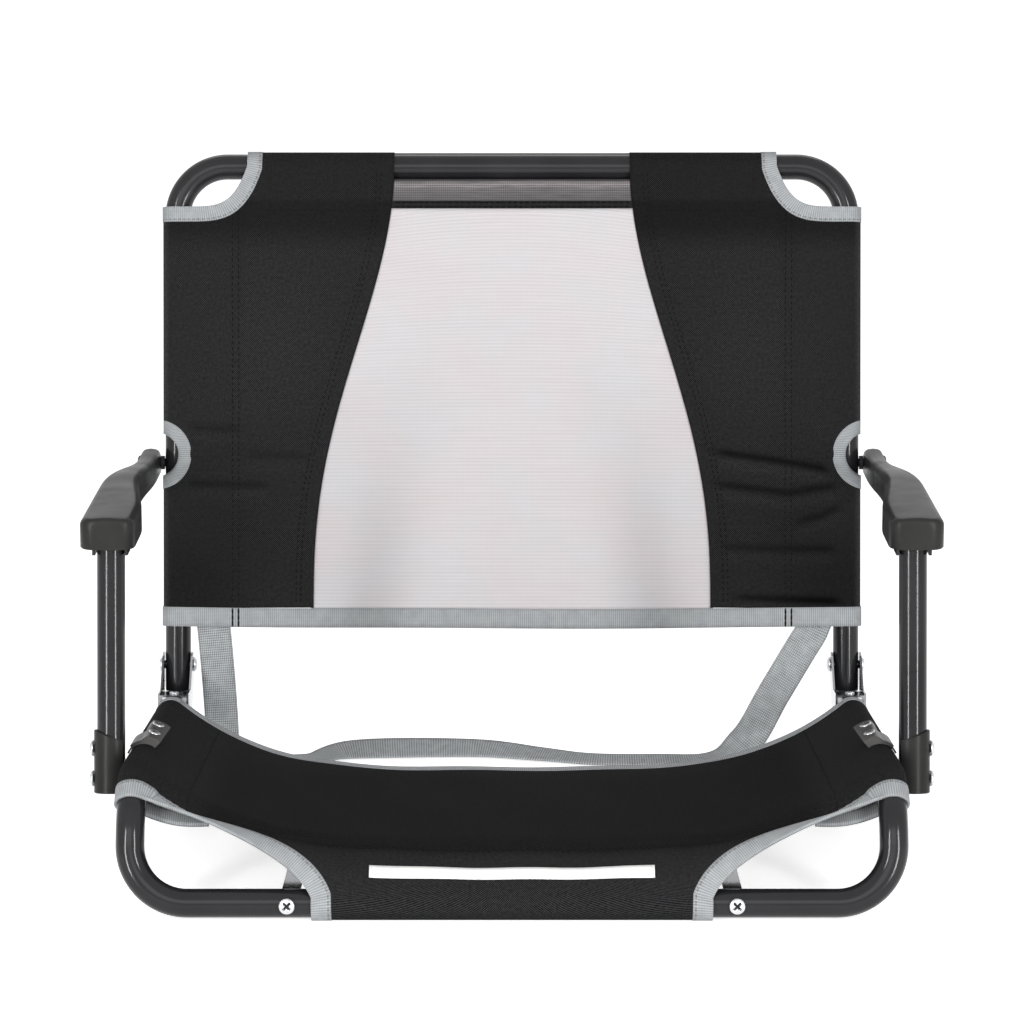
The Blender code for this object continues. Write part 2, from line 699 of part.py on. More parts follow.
def arm_section(along, inset, top_wall, drop):
    """A cross section of the armrest, in x from the post's line and z, taken in by a wall."""
    outer = lerp(ARM_HALF_WIDTH, ARM_OUTER_REAR, smooth(along, *ARM_OUTER_TAPER)) - inset
    inner = -lerp(ARM_HALF_WIDTH, ARM_INNER_REAR, smooth(along, *ARM_INNER_TAPER)) + inset
    nose = ARM_END_RADIUS - min(along, ARM_END_RADIUS)
    tuck = ARM_END_RADIUS - math.sqrt(ARM_END_RADIUS**2 - nose**2)
    outer -= tuck
    inner += tuck
    fall = smooth(along, *ARM_DROP)
    top = lerp(ARM_TOP_FRONT, ARM_TOP_REAR, fall) - top_wall
    bottom = lerp(ARM_BOTTOM_FRONT, ARM_BOTTOM_REAR, fall) - drop
    radius = min(ARM_EDGE_RADIUS - inset, (outer - inner) / 3)
    points = [(outer, bottom)]
    for a in spread(0, math.pi / 2, 4):
        points.append((outer - radius + radius * math.cos(a), top - radius + radius * math.sin(a)))
    for a in spread(math.pi / 2, math.pi, 4):
        points.append((inner + radius + radius * math.cos(a), top - radius + radius * math.sin(a)))
    points.append((inner, bottom))
    return points


def arm_loft(side, stations, inset, top_wall, drop):
    """The armrest's outer form, or its hollow, through cross sections along its length."""
    front = -ARM_LINK - ARM_FRONT_OVERHANG
    rings = []
    for along in stations:
        points = arm_section(along, inset, top_wall, drop)
        rings.append([Vector((side * (POST_X + x), front + along, z)) for x, z in points])
    return loft(rings)


def armrest(label, side, parent):
    """The moulded armrest: a long paddle, hollow below, with a solid eye at its rear end."""
    nose = [ARM_END_RADIUS * share for share in (0.04, 0.2, 0.5)]
    body = nose + spread(ARM_END_RADIUS, ARM_LENGTH, ARM_STATIONS)
    item = piece(f"armrest_{label}", arm_loft(side, body, 0, 0, 0), parent, "grey_plastic")
    hollow = spread(ARM_END_RADIUS, ARM_CAVITY_END, ARM_STATIONS // 2)
    hollow = [ARM_SKIRT_WALL + ARM_END_RADIUS * 0.3] + hollow
    cavity = arm_loft(side, hollow, ARM_SKIRT_WALL, ARM_TOP_WALL, ARM_EDGE_RADIUS)
    combine(item, tool(f"cutter_arm_{label}", cavity, parent), "DIFFERENCE")
    return item


def arm_clevis(label, side, parent):
    """The steel fork inside an armrest that straddles the post's top."""
    high = ARM_TOP_FRONT - ARM_TOP_WALL - FIT_GAP
    inner = TUBE_RADIUS + CLEVIS_GAP
    outer = inner + CLEVIS_WALL
    section = [
        (-outer, -CLEVIS_DROP), (-outer, high), (outer, high), (outer, -CLEVIS_DROP),
        (inner, -CLEVIS_DROP), (inner, high - CLEVIS_WALL), (-inner, high - CLEVIS_WALL), (-inner, -CLEVIS_DROP),
    ]
    front = -ARM_LINK - CLEVIS_HALF_LENGTH
    points = [Vector((side * POST_X + x, front, z)) for x, z in section]
    return piece(f"arm_clevis_{label}", plate(points, Vector((0, 2 * CLEVIS_HALF_LENGTH, 0))), parent, "black_steel")


def bench_hook(label, pivot):
    """An L-shaped steel strip with a round eye, which turns down to catch below a bench's edge."""
    depth = TUBE_RADIUS + FIT_GAP + HOOK_WALL / 2
    corners = [Vector((0, depth, 0)), Vector((0, depth, HOOK_HEIGHT)), Vector((0, depth + HOOK_FOOT, HOOK_HEIGHT))]
    path = bent_path(corners, [HOOK_BEND_RADIUS])[1:]
    stations = []
    for a in spread(math.radians(-84), math.radians(48), 12):
        height = HOOK_EYE_RADIUS * math.sin(a)
        half = max(HOOK_EYE_RADIUS * math.cos(a), HOOK_WIDTH / 2 if a > 0 else 0)
        stations.append((Vector((0, depth, height)), Vector((0, 1, 0)), half))
    ahead = [(after - before).normalized() for before, after in zip(path, path[1:])]
    ahead = [Vector((0, 0, 1))] + [(one + two).normalized() for one, two in zip(ahead, ahead[1:])] + ahead[-1:]
    for point, along in zip(path, ahead):
        stations.append((point, Vector((0, along.z, -along.y)), HOOK_WIDTH / 2))
    rings = []
    for centre, face, half in stations:
        across, through = Vector((half, 0, 0)), face * HOOK_WALL / 2
        rings.append([
            centre - across - through, centre + across - through, centre + across + through, centre - across + through,
        ])
    item = piece(f"bench_hook_{label}", loft(rings), pivot, "zinc")
    start, end = Vector((0, 0, 0)), Vector((0, 2 * depth, 0))
    drill(f"cutter_hook_{label}", [item], pivot, start, end, PIN_RADIUS)


def front_bar_screws(parent, frame):
    """The two riveted screws through the front bar on which the hooks turn, and their holes."""
    front = TUBE_RADIUS + FIT_GAP
    rear = front + HOOK_WALL + FIT_GAP
    for label, side in SIDES:
        place = Vector((side * HOOK_HALF_SPACING, FRONT_BAR_Y, FRONT_BAR_Z))
        start, end = place - Vector((0, front, 0)), place + Vector((0, rear, 0))
        piece(f"front_bar_screw_{label}", headed_pin(start, end, PIN_RADIUS), parent, "zinc")
        drill(f"cutter_bar_{label}", [frame], parent, start, end, PIN_RADIUS)


def strap_points():
    """The strap's route with extra points between, on a Catmull-Rom curve through the chosen ones."""
    knots = [STRAP_ROUTE[0], *STRAP_ROUTE, STRAP_ROUTE[-1]]
    points = []
    for before, start, end, after in zip(knots, knots[1:], knots[2:], knots[3:]):
        for step in range(STRAP_STEPS):
            t = step / STRAP_STEPS
            points.append([
                0.5 * (2 * b + (c - a) * t + (2 * a - 5 * b + 4 * c - d) * t**2 + (3 * b - a - 3 * c + d) * t**3)
                for a, b, c, d in zip(before, start, end, after)
            ])
    points.append(list(STRAP_ROUTE[-1]))
    return points


def carry_strap(parent):
    """The flat webbing strap: it hangs from both ends of the back hem and lies on the floor behind the seat."""
    route = strap_points()
    line = [Vector(point[:3]) for point in route]
    rings = []
    for index, point in enumerate(route):
        ahead = (line[min(index + 1, len(line) - 1)] - line[max(index - 1, 0)]).normalized()
        level = ahead.cross(Vector((0, 1, 0)))
        flat = Vector((0, 0, 1)).cross(ahead)
        share = smooth(point[3], 0, 1)
        width = (level.normalized() * (1 - share) + flat.normalized() * share).normalized()
        wall = ahead.cross(width).normalized()
        across, through = width * STRAP_WIDTH / 2, wall * STRAP_WALL / 2
        centre = line[index]
        rings.append([
            centre - across - through, centre + across - through, centre + across + through, centre - across + through,
        ])
    return piece("carry_strap", loft(rings), parent, "grey_webbing")


def stand_place():
    """Lean and place of the chair on the floor: the line under the front bar and the hanging seat is level."""
    _, edge, _ = sling_edge()
    rear = Vector((0, SLING_REAR_Y, edge - SLING_SAG - FABRIC_WALL / 2)) - FRONT_BAR
    lean = math.atan2(rear.z, rear.y) + math.asin(WRAP_OUTER / rear.length)
    turn = Matrix.Rotation(-lean, 3, "X")
    back_top = BACK_PIVOT + LINK * (BACK_LENGTH / LINK_LENGTH)
    front_y = (turn @ (FRONT_BAR - Vector((0, TUBE_RADIUS + FIT_GAP + HEAD_HEIGHT, 0)))).y
    rear_y = (turn @ back_top).y + WRAP_OUTER
    place = Vector((0, -(front_y + rear_y) / 2, WRAP_OUTER - (turn @ FRONT_BAR).z))
    return lean, place


def seat_body(stand):
    """Every piece that stays with the seat."""
    frame = seat_frame(stand)
    sling = seat_sling(stand)
    front_bar_screws(stand, frame)
    for label, side in SIDES:
        rail_saddle(label, side, stand)
        post_pin(label, side, stand, [frame, sling])
        bracket = hinge_bracket(label, side, stand)
        reach = TUBE_RADIUS + EAR_GAP + PLATE_WALL + FIT_GAP
        line = bolt_line(side, RAIL_HALF_SPACING - reach, RAIL_HALF_SPACING + reach, BACK_PIVOT.y, BACK_PIVOT.z)
        piece(f"hinge_pin_{label}", headed_pin(*line, PIN_RADIUS), stand, "zinc")
        drill(f"cutter_hinge_{label}", [bracket], stand, *line, PIN_RADIUS)


def back_body(pivot):
    """Every piece that folds with the back."""
    frame = back_frame(pivot)
    back_mesh(pivot)
    back_hem(pivot)
    for label, side in SIDES:
        back_panel(label, side, pivot)
        reach = 2 * TUBE_RADIUS
        hinge = bolt_line(side, RAIL_HALF_SPACING - reach, RAIL_HALF_SPACING + reach)
        drill(f"cutter_tail_{label}", [frame], pivot, *hinge, PIN_RADIUS)
        inner = RAIL_HALF_SPACING - TUBE_RADIUS - FIT_GAP
        outer = POST_X + ARM_OUTER_REAR + FIT_GAP
        bolt = bolt_line(side, inner, outer, 0, LINK_LENGTH)
        piece(f"arm_bolt_{label}", headed_pin(*bolt, PIN_RADIUS), pivot, "black_steel")
        drill(f"cutter_arm_bolt_{label}", [frame], pivot, *bolt, PIN_RADIUS)


def post_body(label, side, pivot):
    """An arm post with its socket and screws."""
    post = arm_post(label, side, pivot)
    socket = post_socket(label, side, pivot)
    post_screws(label, side, pivot, [post, socket])
    foot = bolt_line(side, RAIL_HALF_SPACING, POST_X - TUBE_RADIUS + STUD_REACH + FIT_GAP)
    drill(f"cutter_foot_{label}", [post], pivot, *foot, PIN_RADIUS)
    reach = 2 * TUBE_RADIUS
    top = bolt_line(side, POST_X - reach, POST_X + reach, 0, LINK_LENGTH)
    drill(f"cutter_post_top_{label}", [post], pivot, *top, PIN_RADIUS)


def arm_body(label, side, pivot):
    """An armrest with its fork and the screw through the post's top."""
    rest = armrest(label, side, pivot)
    fork = arm_clevis(label, side, pivot)
    reach = TUBE_RADIUS + CLEVIS_GAP + CLEVIS_WALL + FIT_GAP
    line = bolt_line(side, POST_X - reach, POST_X + reach, -ARM_LINK, 0)
    piece(f"arm_screw_{label}", headed_pin(*line, PIN_RADIUS), pivot, "zinc")
    drill(f"cutter_fork_{label}", [fork], pivot, *line, PIN_RADIUS)
    eye = bolt_line(side, RAIL_HALF_SPACING, POST_X + 2 * ARM_HALF_WIDTH)
    drill(f"cutter_eye_{label}", [rest], pivot, *eye, PIN_RADIUS)


def main():
    """Build the chair."""
    clear_scene()
    lean, place = stand_place()
    stand = empty("stand", None, place, (-lean, 0, 0))
    seat_body(stand)
    back_body(empty("back_pivot", stand, BACK_PIVOT, (-BACK_RECLINE, 0, 0)))
    for label, side in SIDES:
        post_body(label, side, empty(f"post_pivot_{label}", stand, POST_PIVOT, (-BACK_RECLINE, 0, 0)))
        arm_body(label, side, empty(f"arm_pivot_{label}", stand, ARM_PIVOT, (ARM_SLOPE, 0, 0)))
        swivel = Vector((side * HOOK_HALF_SPACING, FRONT_BAR_Y, FRONT_BAR_Z))
        bench_hook(label, empty(f"hook_pivot_{label}", stand, swivel, (0, -side * HOOK_LEAN, 0)))
    carry_strap(None)


main()
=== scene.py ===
"""Looks for a low folding stadium chair: powder coated tubes, sewn black slings, a pale mesh back,
grey binding tape, moulded armrests, screws, a webbing strap and a plain studio."""
import math

import bmesh
import bpy
import numpy as np
from mathutils import Matrix, Vector
from mathutils.bvhtree import BVHTree


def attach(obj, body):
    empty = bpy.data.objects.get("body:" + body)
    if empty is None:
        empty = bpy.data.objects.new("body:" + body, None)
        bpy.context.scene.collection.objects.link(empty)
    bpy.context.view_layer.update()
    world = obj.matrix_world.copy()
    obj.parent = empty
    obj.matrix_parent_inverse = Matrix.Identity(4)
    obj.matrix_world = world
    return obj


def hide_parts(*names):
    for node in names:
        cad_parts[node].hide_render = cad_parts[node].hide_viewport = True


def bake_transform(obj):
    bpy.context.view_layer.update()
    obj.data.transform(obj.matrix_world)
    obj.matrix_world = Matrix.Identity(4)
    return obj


bl_info = {
    "name": "Stadium chair looks",
    "version": (1, 0, 0),
    "blender": (4, 5, 0),
    "location": "View3D > Sidebar > Chair",
    "description": "Dresses the frame of a stadium chair with tubes, cloth, tape, fittings and a stage",
    "category": "Object",
}

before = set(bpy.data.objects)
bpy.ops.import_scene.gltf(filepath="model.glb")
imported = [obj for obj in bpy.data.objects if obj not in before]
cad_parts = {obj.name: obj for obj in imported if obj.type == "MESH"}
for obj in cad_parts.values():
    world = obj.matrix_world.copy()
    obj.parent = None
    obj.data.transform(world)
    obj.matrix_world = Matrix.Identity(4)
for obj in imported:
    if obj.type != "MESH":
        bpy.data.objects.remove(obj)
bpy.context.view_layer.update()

SIDES = (("left", -1), ("right", 1))

# Frame tubes
TUBE = 0.0095
RAIL_X = 0.2505
CORNER = 0.0375
RAIL_Z = 0.088
RAIL_REAR = 0.170
LOOP_Y = -0.180
LOOP_BEND = 0.048
LOOP_LEAN = math.radians(10)
BEND_Y = LOOP_Y + LOOP_BEND * math.tan((math.pi / 2 - LOOP_LEAN) / 2)
BAR_Z = 0.011
BAR_Y = LOOP_Y - (RAIL_Z - BAR_Z) * math.tan(LOOP_LEAN)
BACK_TOP = 0.373
BACK_TAIL = 0.020
RECLINE = math.radians(5)
LINK = 0.1515
POST_X = 0.2715
POST_Y = -0.100
POST_TAIL = 0.020
POST_HEAD = 0.005

# Fittings
CLEAR = 0.0003
CLIP_FRONT = -0.088
CLIP_REAR = -0.048
CLIP_RISE = 0.0055
HOOK_X = 0.147
HOOK_DEPTH = 0.0036
PLATE_GAP = 0.0004
PLATE = 0.0015
FORK_GAP = 0.0005
FORK = 0.002
SOCKET_WALL = 0.0021

# Seat cloth
WALL = 0.0012
WRAP = 0.0104
SAG = 0.050
SEAT_REAR = 0.128
REAR_RUN = BEND_Y - SEAT_REAR
SLEEVE_START = math.radians(195)
SLEEVE_TURN = math.radians(320 / 7)
SLEEVE_RUN = SLEEVE_TURN * LOOP_BEND
TURN_SHARE = 0.3
BAR_HALF = 0.1305
BAR_WRAP_END = math.radians(300)
CUT_ONE = (0.1867, -0.1875, 0.0618)
CUT_TWO = (0.1403, -0.1990, 0.0407)
LEVEL = 0.028
ROLL = 0.030
ROLL_END = math.radians(60)
SEAM_ROLLS = (0.45, 0.48)
WING = 0.88
LABEL_ROLL = 0.725
LABEL_HALF = 0.0935
LABEL_WIDTH = 0.0085
LABEL_REACH = 0.0697
LABEL_LIFT = np.array((0, -0.0013, 0.0008))
LABEL_WALL = 0.0006
LOWER_SHARE = 0.82
LOWER_DROP = np.array((0, 0, 0.0035))

# Back cloth
HEM_LOW = 0.029
HEM_HIGH = 0.0425
HEM_GAP = 0.0003
HEM_RADIUS = 0.0107
HEM_WALL = 0.0022
HEM_DIP = 0.0016
HEM_STITCH = 0.0052
SIDE_TOP = 0.342
SIDE_WRAP = math.radians(185)
TOP_WRAP = math.radians(200)
CORNER_X = 0.197
CORNER_POWER = 5
BELLY = 0.008
MESH_TOP = 0.088
MESH_LOW = 0.1485
MESH_LAP = 0.002
MESH_WALL = 0.0008
MESH_SEAM = 0.3415
STRIP_TOP = 0.3470
STRIP_WALL = 0.0012
NET_RISE = 0.0165
NOTCH_X = 0.2660
NOTCH_Z = 0.1575
NOTCH_R = 0.0172
TUBE_SEAMS = (0.2045, 0.2090)
TUBE_SEAM_TOP = 0.345
MESH_SEAMS = (0.0095, 0.0130)
LEVEL_SEAM = 0.90

# Sewing
TAPE_OVER = 0.0008
BACK_TAPE = 0.84
STITCH_HALF_WIDTH = 0.0006
STITCH_HEIGHT = 0.0010

# Frames in which the bodies' pieces are shaped; STAND takes the one with level rails to the standing chair
LEAN = 0.14071516
HINGE_GAP = 0.0006
HINGE_RISE = 0.028
STAND = Matrix.Translation((0, -0.04452835, -0.02704071)) @ Matrix.Rotation(-LEAN, 4, "X")
PIVOT_Y = RAIL_REAR + HINGE_GAP + TUBE / math.cos(RECLINE) + BACK_TAIL * math.sin(RECLINE)
PIVOT_Z = RAIL_Z + HINGE_RISE
BACK = STAND @ Matrix.Translation((0, PIVOT_Y, PIVOT_Z)) @ Matrix.Rotation(-RECLINE, 4, "X")
POST = STAND @ Matrix.Translation((0, POST_Y, RAIL_Z)) @ Matrix.Rotation(-RECLINE, 4, "X")
ARM_SLOPE = math.atan2(PIVOT_Z - RAIL_Z, PIVOT_Y - POST_Y)
ARM_LINK = math.hypot(PIVOT_Z - RAIL_Z, PIVOT_Y - POST_Y)
ARM = (
    STAND
    @ Matrix.Translation((0, PIVOT_Y + LINK * math.sin(RECLINE), PIVOT_Z + LINK * math.cos(RECLINE)))
    @ Matrix.Rotation(ARM_SLOPE, 4, "X")
)
FRAMES = {"seat": STAND, "back": BACK, "post": POST, "arm": ARM}

# Armrests
ARM_FRONT = 0.030
ARM_REAR = 0.010
ARM_LENGTH = ARM_FRONT + ARM_LINK + ARM_REAR
ARM_HALF = 0.0185
ARM_OUTER_END = 0.0065
ARM_INNER_END = 0.0075
ARM_TOPS = (0.020, 0.010)
ARM_FLOORS = (-0.001, -0.009)
ARM_NOSE = 0.010
ARM_BROW = 0.0035
ARM_TAIL = 0.0085
ARM_ROUND = 0.0055
ARM_CROWN = 0.0009
ARM_ROOF = 0.004
ARM_SKIRT = 0.003
ARM_LIP = 0.0008

# Stage: each lamp's name, place, size and share of the key power
FLOOR_HALF = 30.0
FLOOR_DROP = 0.0002
FLOOR_GLOW = 0.72
SENSOR = 36.0
FRAME_PIXELS = 1024
AIM = Vector((0, 0, 0.2))
LAMPS = (
    ("key", (-0.3, -3.2, 1.7), (2.2, 1.4), 0.64),
    ("left", (-1.4, -1.9, 0.6), (0.22, 1.5), 1.50),
    ("right", (1.4, -1.9, 0.6), (0.22, 1.5), 1.50),
    ("rear", (0.0, 2.2, 2.2), (2.4, 0.8), 0.3),
)

# The strap's middle line: x, y, height and how far it lies flat
STRAP_WIDTH = 0.025
STRAP_WALL = 0.0014
STRAP_ROUTE = np.array((
    (-0.2240, 0.1522, 0.0994, 0.00),
    (-0.2225, 0.1490, 0.0840, 0.00),
    (-0.2205, 0.1488, 0.0560, 0.00),
    (-0.2190, 0.1480, 0.0300, 0.00),
    (-0.2180, 0.1440, 0.0120, 0.30),
    (-0.2170, 0.1330, 0.0030, 1.00),
    (-0.2140, 0.1190, 0.0016, 1.00),
    (-0.2040, 0.1090, 0.0016, 1.00),
    (-0.1850, 0.1060, 0.0016, 1.00),
    (-0.1500, 0.1070, 0.0018, 1.00),
    (-0.1180, 0.1190, 0.0058, 0.72),
    (-0.0300, 0.1230, 0.0056, 0.73),
    (0.0200, 0.1140, 0.0038, 0.85),
    (0.0600, 0.1075, 0.0018, 1.00),
    (0.1100, 0.1065, 0.0016, 1.00),
    (0.1480, 0.1090, 0.0020, 1.00),
    (0.1740, 0.1195, 0.0120, 0.40),
    (0.1955, 0.1345, 0.0440, 0.00),
    (0.2150, 0.1460, 0.0740, 0.00),
    (0.2240, 0.1503, 0.0880, 0.00),
    (0.2285, 0.1534, 0.0990, 0.00),
))

# Creases in the side panels, pulled in from the elbow notch: the side, the depth, and points of x and height
CREASES = (
    (1, 1.0, ((0.146, 0.1605), (0.202, 0.1524), (0.246, 0.1448))),
    (1, 0.8, ((0.146, 0.1365), (0.207, 0.1285), (0.249, 0.1360))),
    (1, 0.6, ((0.206, 0.1050), (0.232, 0.1120), (0.2505, 0.1215))),
    (1, 0.5, ((0.150, 0.0885), (0.200, 0.0870), (0.246, 0.0868))),
    (1, 0.8, ((0.160, 0.0512), (0.200, 0.0492), (0.2505, 0.0476))),
    (-1, 0.45, ((0.196, 0.1765), (0.220, 0.1770), (0.247, 0.1785))),
    (-1, 0.35, ((0.146, 0.1560), (0.175, 0.1565), (0.204, 0.1580))),
    (-1, 0.55, ((0.176, 0.1345), (0.215, 0.1350), (0.2505, 0.1362))),
)


def colour_setting(name, description, default):
    """A colour in the panel, as linear values."""
    return bpy.props.FloatVectorProperty(
        name=name, description=description, subtype="COLOR", min=0, max=1, default=default,
    )


def setting(name, description, default, **limits):
    """A number in the panel, with any limits and unit."""
    return bpy.props.FloatProperty(name=name, description=description, default=default, **limits)


def length_setting(name, description, default, low, high):
    """A length in the panel, between two limits."""
    return setting(name, description, default, min=low, max=high, unit="LENGTH")


class ChairFinishes(bpy.types.PropertyGroup):
    """Colours of the chair's finishes, as linear values."""

    steel: colour_setting("Steel", "Powder coat on the tubes", (0.015, 0.015, 0.0165))
    cloth: colour_setting("Cloth", "Woven seat and back cloth", (0.0150, 0.0150, 0.0155))
    thread: colour_setting("Thread", "Sewing thread on the cloth", (0.006, 0.006, 0.0065))
    tape: colour_setting("Tape", "Ribbed binding tape and strap", (0.285, 0.300, 0.310))
    mesh: colour_setting("Mesh", "Open mesh in the back", (0.556, 0.532, 0.540))
    net: colour_setting("Net", "Doubled netting below the top bar", (0.084, 0.079, 0.081))
    plastic: colour_setting("Plastic", "Moulded armrests and sockets", (0.0225, 0.0220, 0.0216))
    zinc: colour_setting("Zinc", "Screws, brackets and hooks", (0.66, 0.67, 0.69))
    label: colour_setting("Label tape", "Blank tape sewn on the seat's front", (0.86, 0.86, 0.85))


class ChairSewing(bpy.types.PropertyGroup):
    """Sizes of the sewing."""

    tape_width: length_setting("Tape width", "Width of the binding tape", 0.0125, 0.004, 0.03)
    tape_wall: length_setting("Tape thickness", "Both layers of tape round an edge", 0.0022, 0.001, 0.006)
    stitch: length_setting("Stitch", "Length of one stitch", 0.0032, 0.001, 0.01)
    stitch_pitch: length_setting("Stitch pitch", "Distance from stitch to stitch", 0.0044, 0.001, 0.02)
    wrinkle: length_setting("Wrinkle", "Height of the soft folds in the cloth", 0.0016, 0, 0.005)


class ChairStage(bpy.types.PropertyGroup):
    """Camera and light."""

    lens_pixels: setting("Focal length in pixels", "For a frame 1024 pixels wide", 3778.9, min=500, max=20000)
    camera_y: setting("Camera y", "In the frame with level rails", -2.6307, unit="LENGTH")
    camera_z: setting("Camera z", "In the frame with level rails", 0.5120, unit="LENGTH")
    camera_pitch: setting("Camera pitch", "Downwards from the rails", math.radians(5.707), subtype="ANGLE")
    sky: setting("Sky", "Strength of the white surroundings as a light", 0.39, min=0, max=1)
    key_power: setting("Key power", "Power in watts that the lamps take shares of", 26.0, min=0)


def carried(points, matrix):
    """Points of any array shape moved by a 4 by 4 matrix."""
    m = np.array(matrix)
    return points @ m[:3, :3].T + m[:3, 3]


def smooth(value, low, high):
    """0 below low, 1 above high and an even S curve between."""
    share = np.clip((value - low) / (high - low), 0, 1)
    return share * share * (3 - 2 * share)


def unit(vectors):
    """Vectors scaled to length 1."""
    return vectors / np.maximum(np.linalg.norm(vectors, axis=-1, keepdims=True), 1e-12)


def stack(*parts):
    """Coordinates broadcast to one shape and stacked on a last axis."""
    return np.stack(np.broadcast_arrays(*parts), axis=-1).astype(float)


def run_along(points):
    """Length along a row of points, from 0 at the first."""
    return np.concatenate([[0], np.cumsum(np.linalg.norm(np.diff(points, axis=0), axis=-1))])


def patch(points, uv=None, keep=None):
    """A grid of points as vertices, quads and uvs; keep is a mask of the quads that stay."""
    rows, cols = points.shape[:2]
    index = np.arange(rows * cols).reshape(rows, cols)
    quads = np.stack([index[:-1, :-1], index[:-1, 1:], index[1:, 1:], index[1:, :-1]], axis=-1)
    quads = quads[keep] if keep is not None else quads.reshape(-1, 4)
    if uv is None:
        uv = np.zeros((rows, cols, 2))
    return points.reshape(-1, 3), quads, uv.reshape(-1, 2)


def ended(rows):
    """A patch of closed rows of points, with a fan to the middle of the row at each end."""
    middles = [row.mean(axis=1, keepdims=True) for row in (rows[:1], rows[-1:])]
    first, last = (np.repeat(middle, rows.shape[1], axis=1) for middle in middles)
    return patch(np.concatenate([first, rows, last]))


def joined(patches):
    """Patches as one set of points, quads and uvs."""
    points, quads, uvs = zip(*patches)
    starts = np.cumsum([0] + [len(p) for p in points[:-1]])
    quads = np.concatenate([q + start for q, start in zip(quads, starts)])
    return np.concatenate(points), quads, np.concatenate(uvs)


def arc_uv(points):
    """Lengths along rows and columns of a grid, in metres, as uvs."""
    across = np.linalg.norm(np.diff(points, axis=1), axis=-1)
    along = np.linalg.norm(np.diff(points, axis=0), axis=-1)
    u = np.concatenate([np.zeros((len(points), 1)), np.cumsum(across, axis=1)], axis=1)
    v = np.concatenate([np.zeros((1, points.shape[1])), np.cumsum(along, axis=0)], axis=0)
    return stack(u - u[:, -1:] / 2, v)


def build(name, patches, body, look, nodes=(), wall=0.0, sharp=0):
    """One object from patches in a body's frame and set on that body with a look. Doubles are
    merged and cloth gets a wall. A piece without a wall is a closed form, and edges of more than the sharp
    angle in degrees stay crisp on it."""
    points, quads, uvs = joined(patches)
    if body:
        points = carried(points, FRAMES[body.split("_")[-1]])
    mesh = bpy.data.meshes.new(name)
    mesh.from_pydata(points, [], quads.tolist())
    layer = mesh.uv_layers.new(name="UVMap")
    layer.data.foreach_set("uv", uvs[quads.ravel()].ravel().astype(np.float32))
    work = bmesh.new()
    work.from_mesh(mesh)
    bmesh.ops.remove_doubles(work, verts=work.verts, dist=2e-6)
    if not wall:
        bmesh.ops.recalc_face_normals(work, faces=work.faces)
    work.to_mesh(mesh)
    work.free()
    mesh.shade_smooth()
    if sharp:
        mesh.set_sharp_from_angle(angle=math.radians(sharp))
    item = bpy.data.objects.new(name, mesh)
    bpy.context.scene.collection.objects.link(item)
    mesh.materials.append(finish(look))
    if wall:
        thick = item.modifiers.new("wall", "SOLIDIFY")
        thick.thickness = wall
        thick.offset = 0
    if body:
        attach(item, body)
    if nodes:
        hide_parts(*nodes)
    return item


def dress(node, look):
    """Give a look to a solid of the frame that stays in view."""
    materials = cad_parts[node].data.materials
    materials.clear()
    materials.append(finish(look))


def bent_path(corners, radii, step=math.radians(4)):
    """Straight runs between corners with an arc at each inner corner."""
    path = [Vector(corners[0])]
    for before, corner, after, radius in zip(corners, corners[1:], corners[2:], radii):
        corner = Vector(corner)
        back, ahead = (Vector(before) - corner).normalized(), (Vector(after) - corner).normalized()
        half = back.angle(ahead) / 2
        start = corner + back * (radius / math.tan(half))
        centre = corner + (back + ahead).normalized() * (radius / math.sin(half))
        turn = math.pi - 2 * half
        axis = back.cross(ahead)
        for share in np.linspace(0, 1, math.ceil(turn / step) + 1):
            path.append(centre + Matrix.Rotation(-turn * share, 3, axis) @ (start - centre))
    path.append(Vector(corners[-1]))
    return np.array(path)


def path_frames(path):
    """Two directions square to a path at each point, carried along it without twist."""
    ahead = unit(np.gradient(path, axis=0))
    normal = np.array(Vector(ahead[0]).orthogonal().normalized())
    normals = [normal]
    for one, two in zip(ahead, ahead[1:]):
        turn = Vector(one).rotation_difference(Vector(two))
        normal = np.array(turn @ Vector(normal))
        normals.append(normal)
    normals = unit(np.array(normals))
    return normals, np.cross(ahead, normals)


def capped_tube(path, radius, sides=40, edge=0.0012):
    """A tube with slightly rounded closed ends: circles square to a path, smaller at its ends."""
    ahead = unit(np.diff(path, axis=0))
    tip = 1e-7
    turn = np.linspace(0, math.pi / 2, 5)
    rise, inset = edge * (1 - np.cos(turn)), edge * (1 - np.sin(turn))
    first = path[0] + rise[:, None] * ahead[0]
    last = (path[-1] - rise[:, None] * ahead[-1])[::-1]
    whole = np.concatenate([path[:1] - tip * ahead[0], first, path[1:-1], last, path[-1:] + tip * ahead[-1]])
    flat = np.full(len(path) - 2, radius)
    radii = np.concatenate([[0], radius - inset, flat, (radius - inset)[::-1], [0]])
    normals, others = path_frames(whole)
    angle = np.linspace(0, 2 * math.pi, sides + 1)[None, :, None]
    rings = np.cos(angle) * normals[:, None, :] + np.sin(angle) * others[:, None, :]
    return patch(whole[:, None, :] + radii[:, None, None] * rings)


